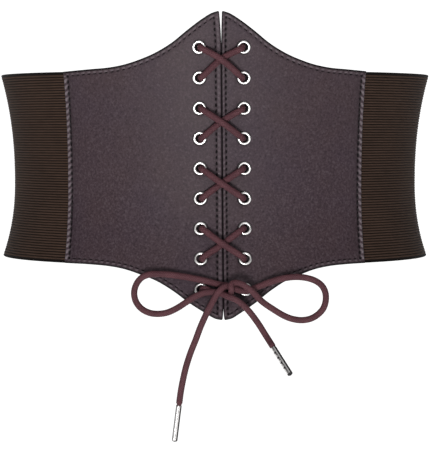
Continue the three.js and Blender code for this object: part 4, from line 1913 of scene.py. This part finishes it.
# The lines along each metal end, some of them grooves that the rolling leaves, with their painted
# shade and painted dark reflections
LEFT_AGLET_LINES = (
    SeamLine(0.02, 0.14, 0.08, 0.97),
    SeamLine(-0.30, 0.2, 0.0, 0.25),
    SeamLine(-0.98, 0.52, 0.16, 1.0),
    SeamLine(1.25, 0.42, 0.05, 0.97),
)
RIGHT_AGLET_LINES = (SeamLine(-0.85, 0.5, 0.16, 0.99), SeamLine(1.4, 0.25, 0.05, 0.8))

# Where the right end is crimped, in millimetres from its mouth
RIGHT_CRIMPS = (4.4, 8.8, 13.2, 17.6)


@dataclass
class Aglet:
    """A metal end: a strip rolled into a tube round the lace, with lengthwise lines and crimps
    darkened by painted shade and painted dark reflections.
    """

    lines: tuple[SeamLine, ...]
    crimps: tuple[float, ...] = ()
    crimp_turn: float = 0.5
    crimp_depth: float = 0.4
    crimp_width: float = 0.42
    crimp_reach: float = 0.6
    crimp_taper: float = 0.55
    # Painted shade in the crimps and on the rounded tip.
    crimp_dark: float = 0.98
    crimp_rim: tuple[float, float] = (0.15, 0.6)
    tip_dark: float = 0.95
    tip_rim: tuple[float, float] = (1.1, 0.5)
    diameter: float = 3.7
    length: float = 23.5
    wall: float = 0.3
    mouth: float = 2.2
    gap: float = 0.3
    nose: float = 1.0
    segments: int = 64

    def build(
        self, name: str, start: Array, way: Array, material: bpy.types.Material
    ) -> bpy.types.Object:
        """The tube, open at the lace's side and closed round at its tip.

        Args:
            name: The piece's name.
            start: Where the lace ends.
            way: The way that it points there.
            material: Its finish.

        Returns:
            The piece.
        """
        radius, nose = self.diameter / 2, self.nose
        facing = np.array((0.0, -1.0, 0.0))
        first = unit(facing - way * (facing @ way))
        second = np.cross(way, first)
        angles = np.linspace(-math.pi, math.pi, self.segments + 1)
        tip = np.linspace(0, math.pi / 2, 8)[1:-1]
        shaft = np.linspace(0.25, self.length - nose, 90)
        mouth_points = 4
        levels = [(self.mouth, radius - self.wall - 0.5), (self.mouth, radius - self.wall)]
        levels += [(0.15, radius - self.wall), (0.0, radius - self.wall / 2), (0.08, radius - 0.05)]
        levels += [(level, radius) for level in shaft]
        levels += [
            (self.length + nose * (math.sin(a) - 1), radius + nose * (math.cos(a) - 1))
            for a in tip
        ]
        levels += [(self.length, radius - nose)]
        section = np.array(levels)
        level, turn = np.meshgrid(section[:, 0], angles, indexing="ij")
        reach = np.broadcast_to(section[:, 1:], level.shape).copy()
        # Painted shade: the inside of the mouth is black.
        outside = (np.arange(len(section)) >= mouth_points)[:, None] * 1.0
        shade = np.broadcast_to(1 - outside, level.shape).copy()
        # Each line is darkened by painted dark reflection and, where it is a groove, painted shade.
        for line in self.lines:
            groove = ridge((turn - line.turn + math.pi) % TURN - math.pi, line.width, 4)
            reach -= outside * line.depth * groove
            shade = np.maximum(shade, line.dark * groove)
        # Each crimp is a dent, blackened by painted shade.
        for crimp in self.crimps:
            off = turn - self.crimp_turn
            taper = 1.0 - self.crimp_taper * np.clip(off / self.crimp_reach, -1, 1)
            pinch = ridge(level - crimp, taper, 4) * ridge(off, self.crimp_width, 4)
            reach -= outside * self.crimp_depth * pinch
            shade = np.maximum(shade, self.crimp_dark * smoothstep(*self.crimp_rim, pinch))
        # Painted shade darkens the rounded tip.
        bright, dark = (self.length - rim for rim in self.tip_rim)
        shade = np.maximum(shade, self.tip_dark * smoothstep(bright, dark, level))
        spoke = np.cos(turn)[..., None] * first + np.sin(turn)[..., None] * second
        base = start + way * self.gap
        points = base + level[..., None] * way + reach[..., None] * spoke
        draft = MeshDraft()
        draft.add_tube(points, np.stack([level, turn], axis=-1) * MM, shade=shade)
        return draft.build(name, [material])


# The studio


@dataclass(frozen=True)
class PictureCamera:
    """The camera that took the picture, in millimetres and pixels."""

    place: tuple[float, float, float] = (1.5, -1250.0, 34.15)
    pitch_down: float = 3.0
    focal: float = 1772.5
    long_side: float = 449.0
    sensor: float = 36.0

    def build(self) -> None:
        """Makes the scene's camera."""
        data = bpy.data.cameras.new("camera")
        data.sensor_width = self.sensor
        data.lens = self.focal / self.long_side * self.sensor
        camera = bpy.data.objects.new("camera", data)
        camera.location = Vector(self.place) * MM
        camera.rotation_euler = (math.radians(90 - self.pitch_down), 0, 0)
        bpy.context.scene.collection.objects.link(camera)
        bpy.context.scene.camera = camera


@dataclass(frozen=True)
class SoftBox:
    """A square area light, in metres and watts."""

    name: str
    place: tuple[float, float, float]
    size: float
    power: float

    def build(self) -> None:
        """Makes the light, aimed at the belt."""
        data = bpy.data.lights.new(self.name, "AREA")
        data.size = self.size
        data.energy = self.power
        light = bpy.data.objects.new(self.name, data)
        light.location = self.place
        light.rotation_euler = (-Vector(self.place)).to_track_quat("-Z", "Y").to_euler()
        bpy.context.scene.collection.objects.link(light)


@dataclass(frozen=True)
class Studio:
    """The floor with the wall that it curves up into, the soft boxes and the room's light."""

    floor_level: float = -1.0
    front_edge: float = -16.0
    wall_place: float = 5.0
    wall_height: float = 5.0
    half_width: float = 16.0
    curve: float = 1.2
    room_light: float = 0.1
    boxes: tuple[SoftBox, ...] = (
        SoftBox("key box", (-0.15, -1.6, -0.45), 0.4, 14.5),
        SoftBox("front box", (0.1, -2.6, 0.6), 1.6, 5.5),
        SoftBox("top box", (0.2, -0.9, 1.6), 1.6, 6),
        SoftBox("back box", (0.2, 1.8, 0.6), 1.2, 8),
    )

    def build(self) -> None:
        """Makes the floor, the lights and the world."""
        bend = np.linspace(0, math.pi / 2, 12)
        foot, curve = self.wall_place - self.curve, self.curve
        curve = [(foot + curve * math.sin(a), curve * (1 - math.cos(a))) for a in bend]
        line = [(self.front_edge, 0.0), *curve, (self.wall_place, self.wall_height)]
        widths = (-self.half_width, self.half_width)
        points = [(x, y, self.floor_level + z) for y, z in line for x in widths]
        faces = [(2 * i, 2 * i + 1, 2 * i + 3, 2 * i + 2) for i in range(len(line) - 1)]
        mesh = bpy.data.meshes.new("studio_floor")
        mesh.from_pydata(points, [], faces)
        mesh.materials.append(StudioFinish().build())
        mesh.shade_smooth()
        paper = show("studio_floor", mesh)
        paper.visible_diffuse = False
        paper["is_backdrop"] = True
        for box in self.boxes:
            box.build()
        world = bpy.data.worlds.new("studio")
        world.use_nodes = True
        background = world.node_tree.nodes["Background"]
        background.inputs["Color"].default_value = (1.0, 1.0, 1.0, 1.0)
        background.inputs["Strength"].default_value = self.room_light
        bpy.context.scene.world = world
        bpy.context.scene.view_settings.view_transform = "Standard"


@dataclass
class Trees:
    """The geometry trees that the sub-assemblies share."""

    stitches: GeometryTree = field(default_factory=stitch_tree)
    rings: GeometryTree = field(default_factory=ring_tree)
    ribs: GeometryTree = field(default_factory=rib_tree)


def report(piece: bpy.types.Object) -> None:
    """Logs a piece and its number of triangles."""
    corners = np.zeros(len(piece.data.polygons), int)
    piece.data.polygons.foreach_get("loop_total", corners)
    LOG.info("%s: %d triangles", piece.name, int((corners - 2).sum()))


def main() -> None:
    """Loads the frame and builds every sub-assembly over it."""
    logging.basicConfig(level=logging.INFO, format="%(name)s %(message)s")
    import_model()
    solid_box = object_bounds()
    PictureCamera().build()
    front = Front()
    finishes = Finishes()
    trees = Trees()
    Lace(front).dress(finishes)
    ring = EyeletRing().build(front)
    panels = (
        LeatherPanel(front, Side.LEFT, 102, Sewing(3.6, rub=0.45, spot_width=0.85)),
        LeatherPanel(front, Side.RIGHT, 97, Sewing(2.6, rub=0.4, spot_width=0.85)),
    )
    for panel in panels:
        panel.dress(finishes, trees, ring)
    bpy.data.objects.remove(ring)
    for side in Side:
        ElasticSide(front, side).dress(finishes, trees)
    BackStrip(front).dress(finishes, trees)
    Studio().build()
    shown_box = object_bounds()
    sizes = {"cad": solid_box, "visual": shown_box}
    {key: [list(corner) for corner in box] for key, box in sizes.items()}


if __name__ == "__main__":
    main()
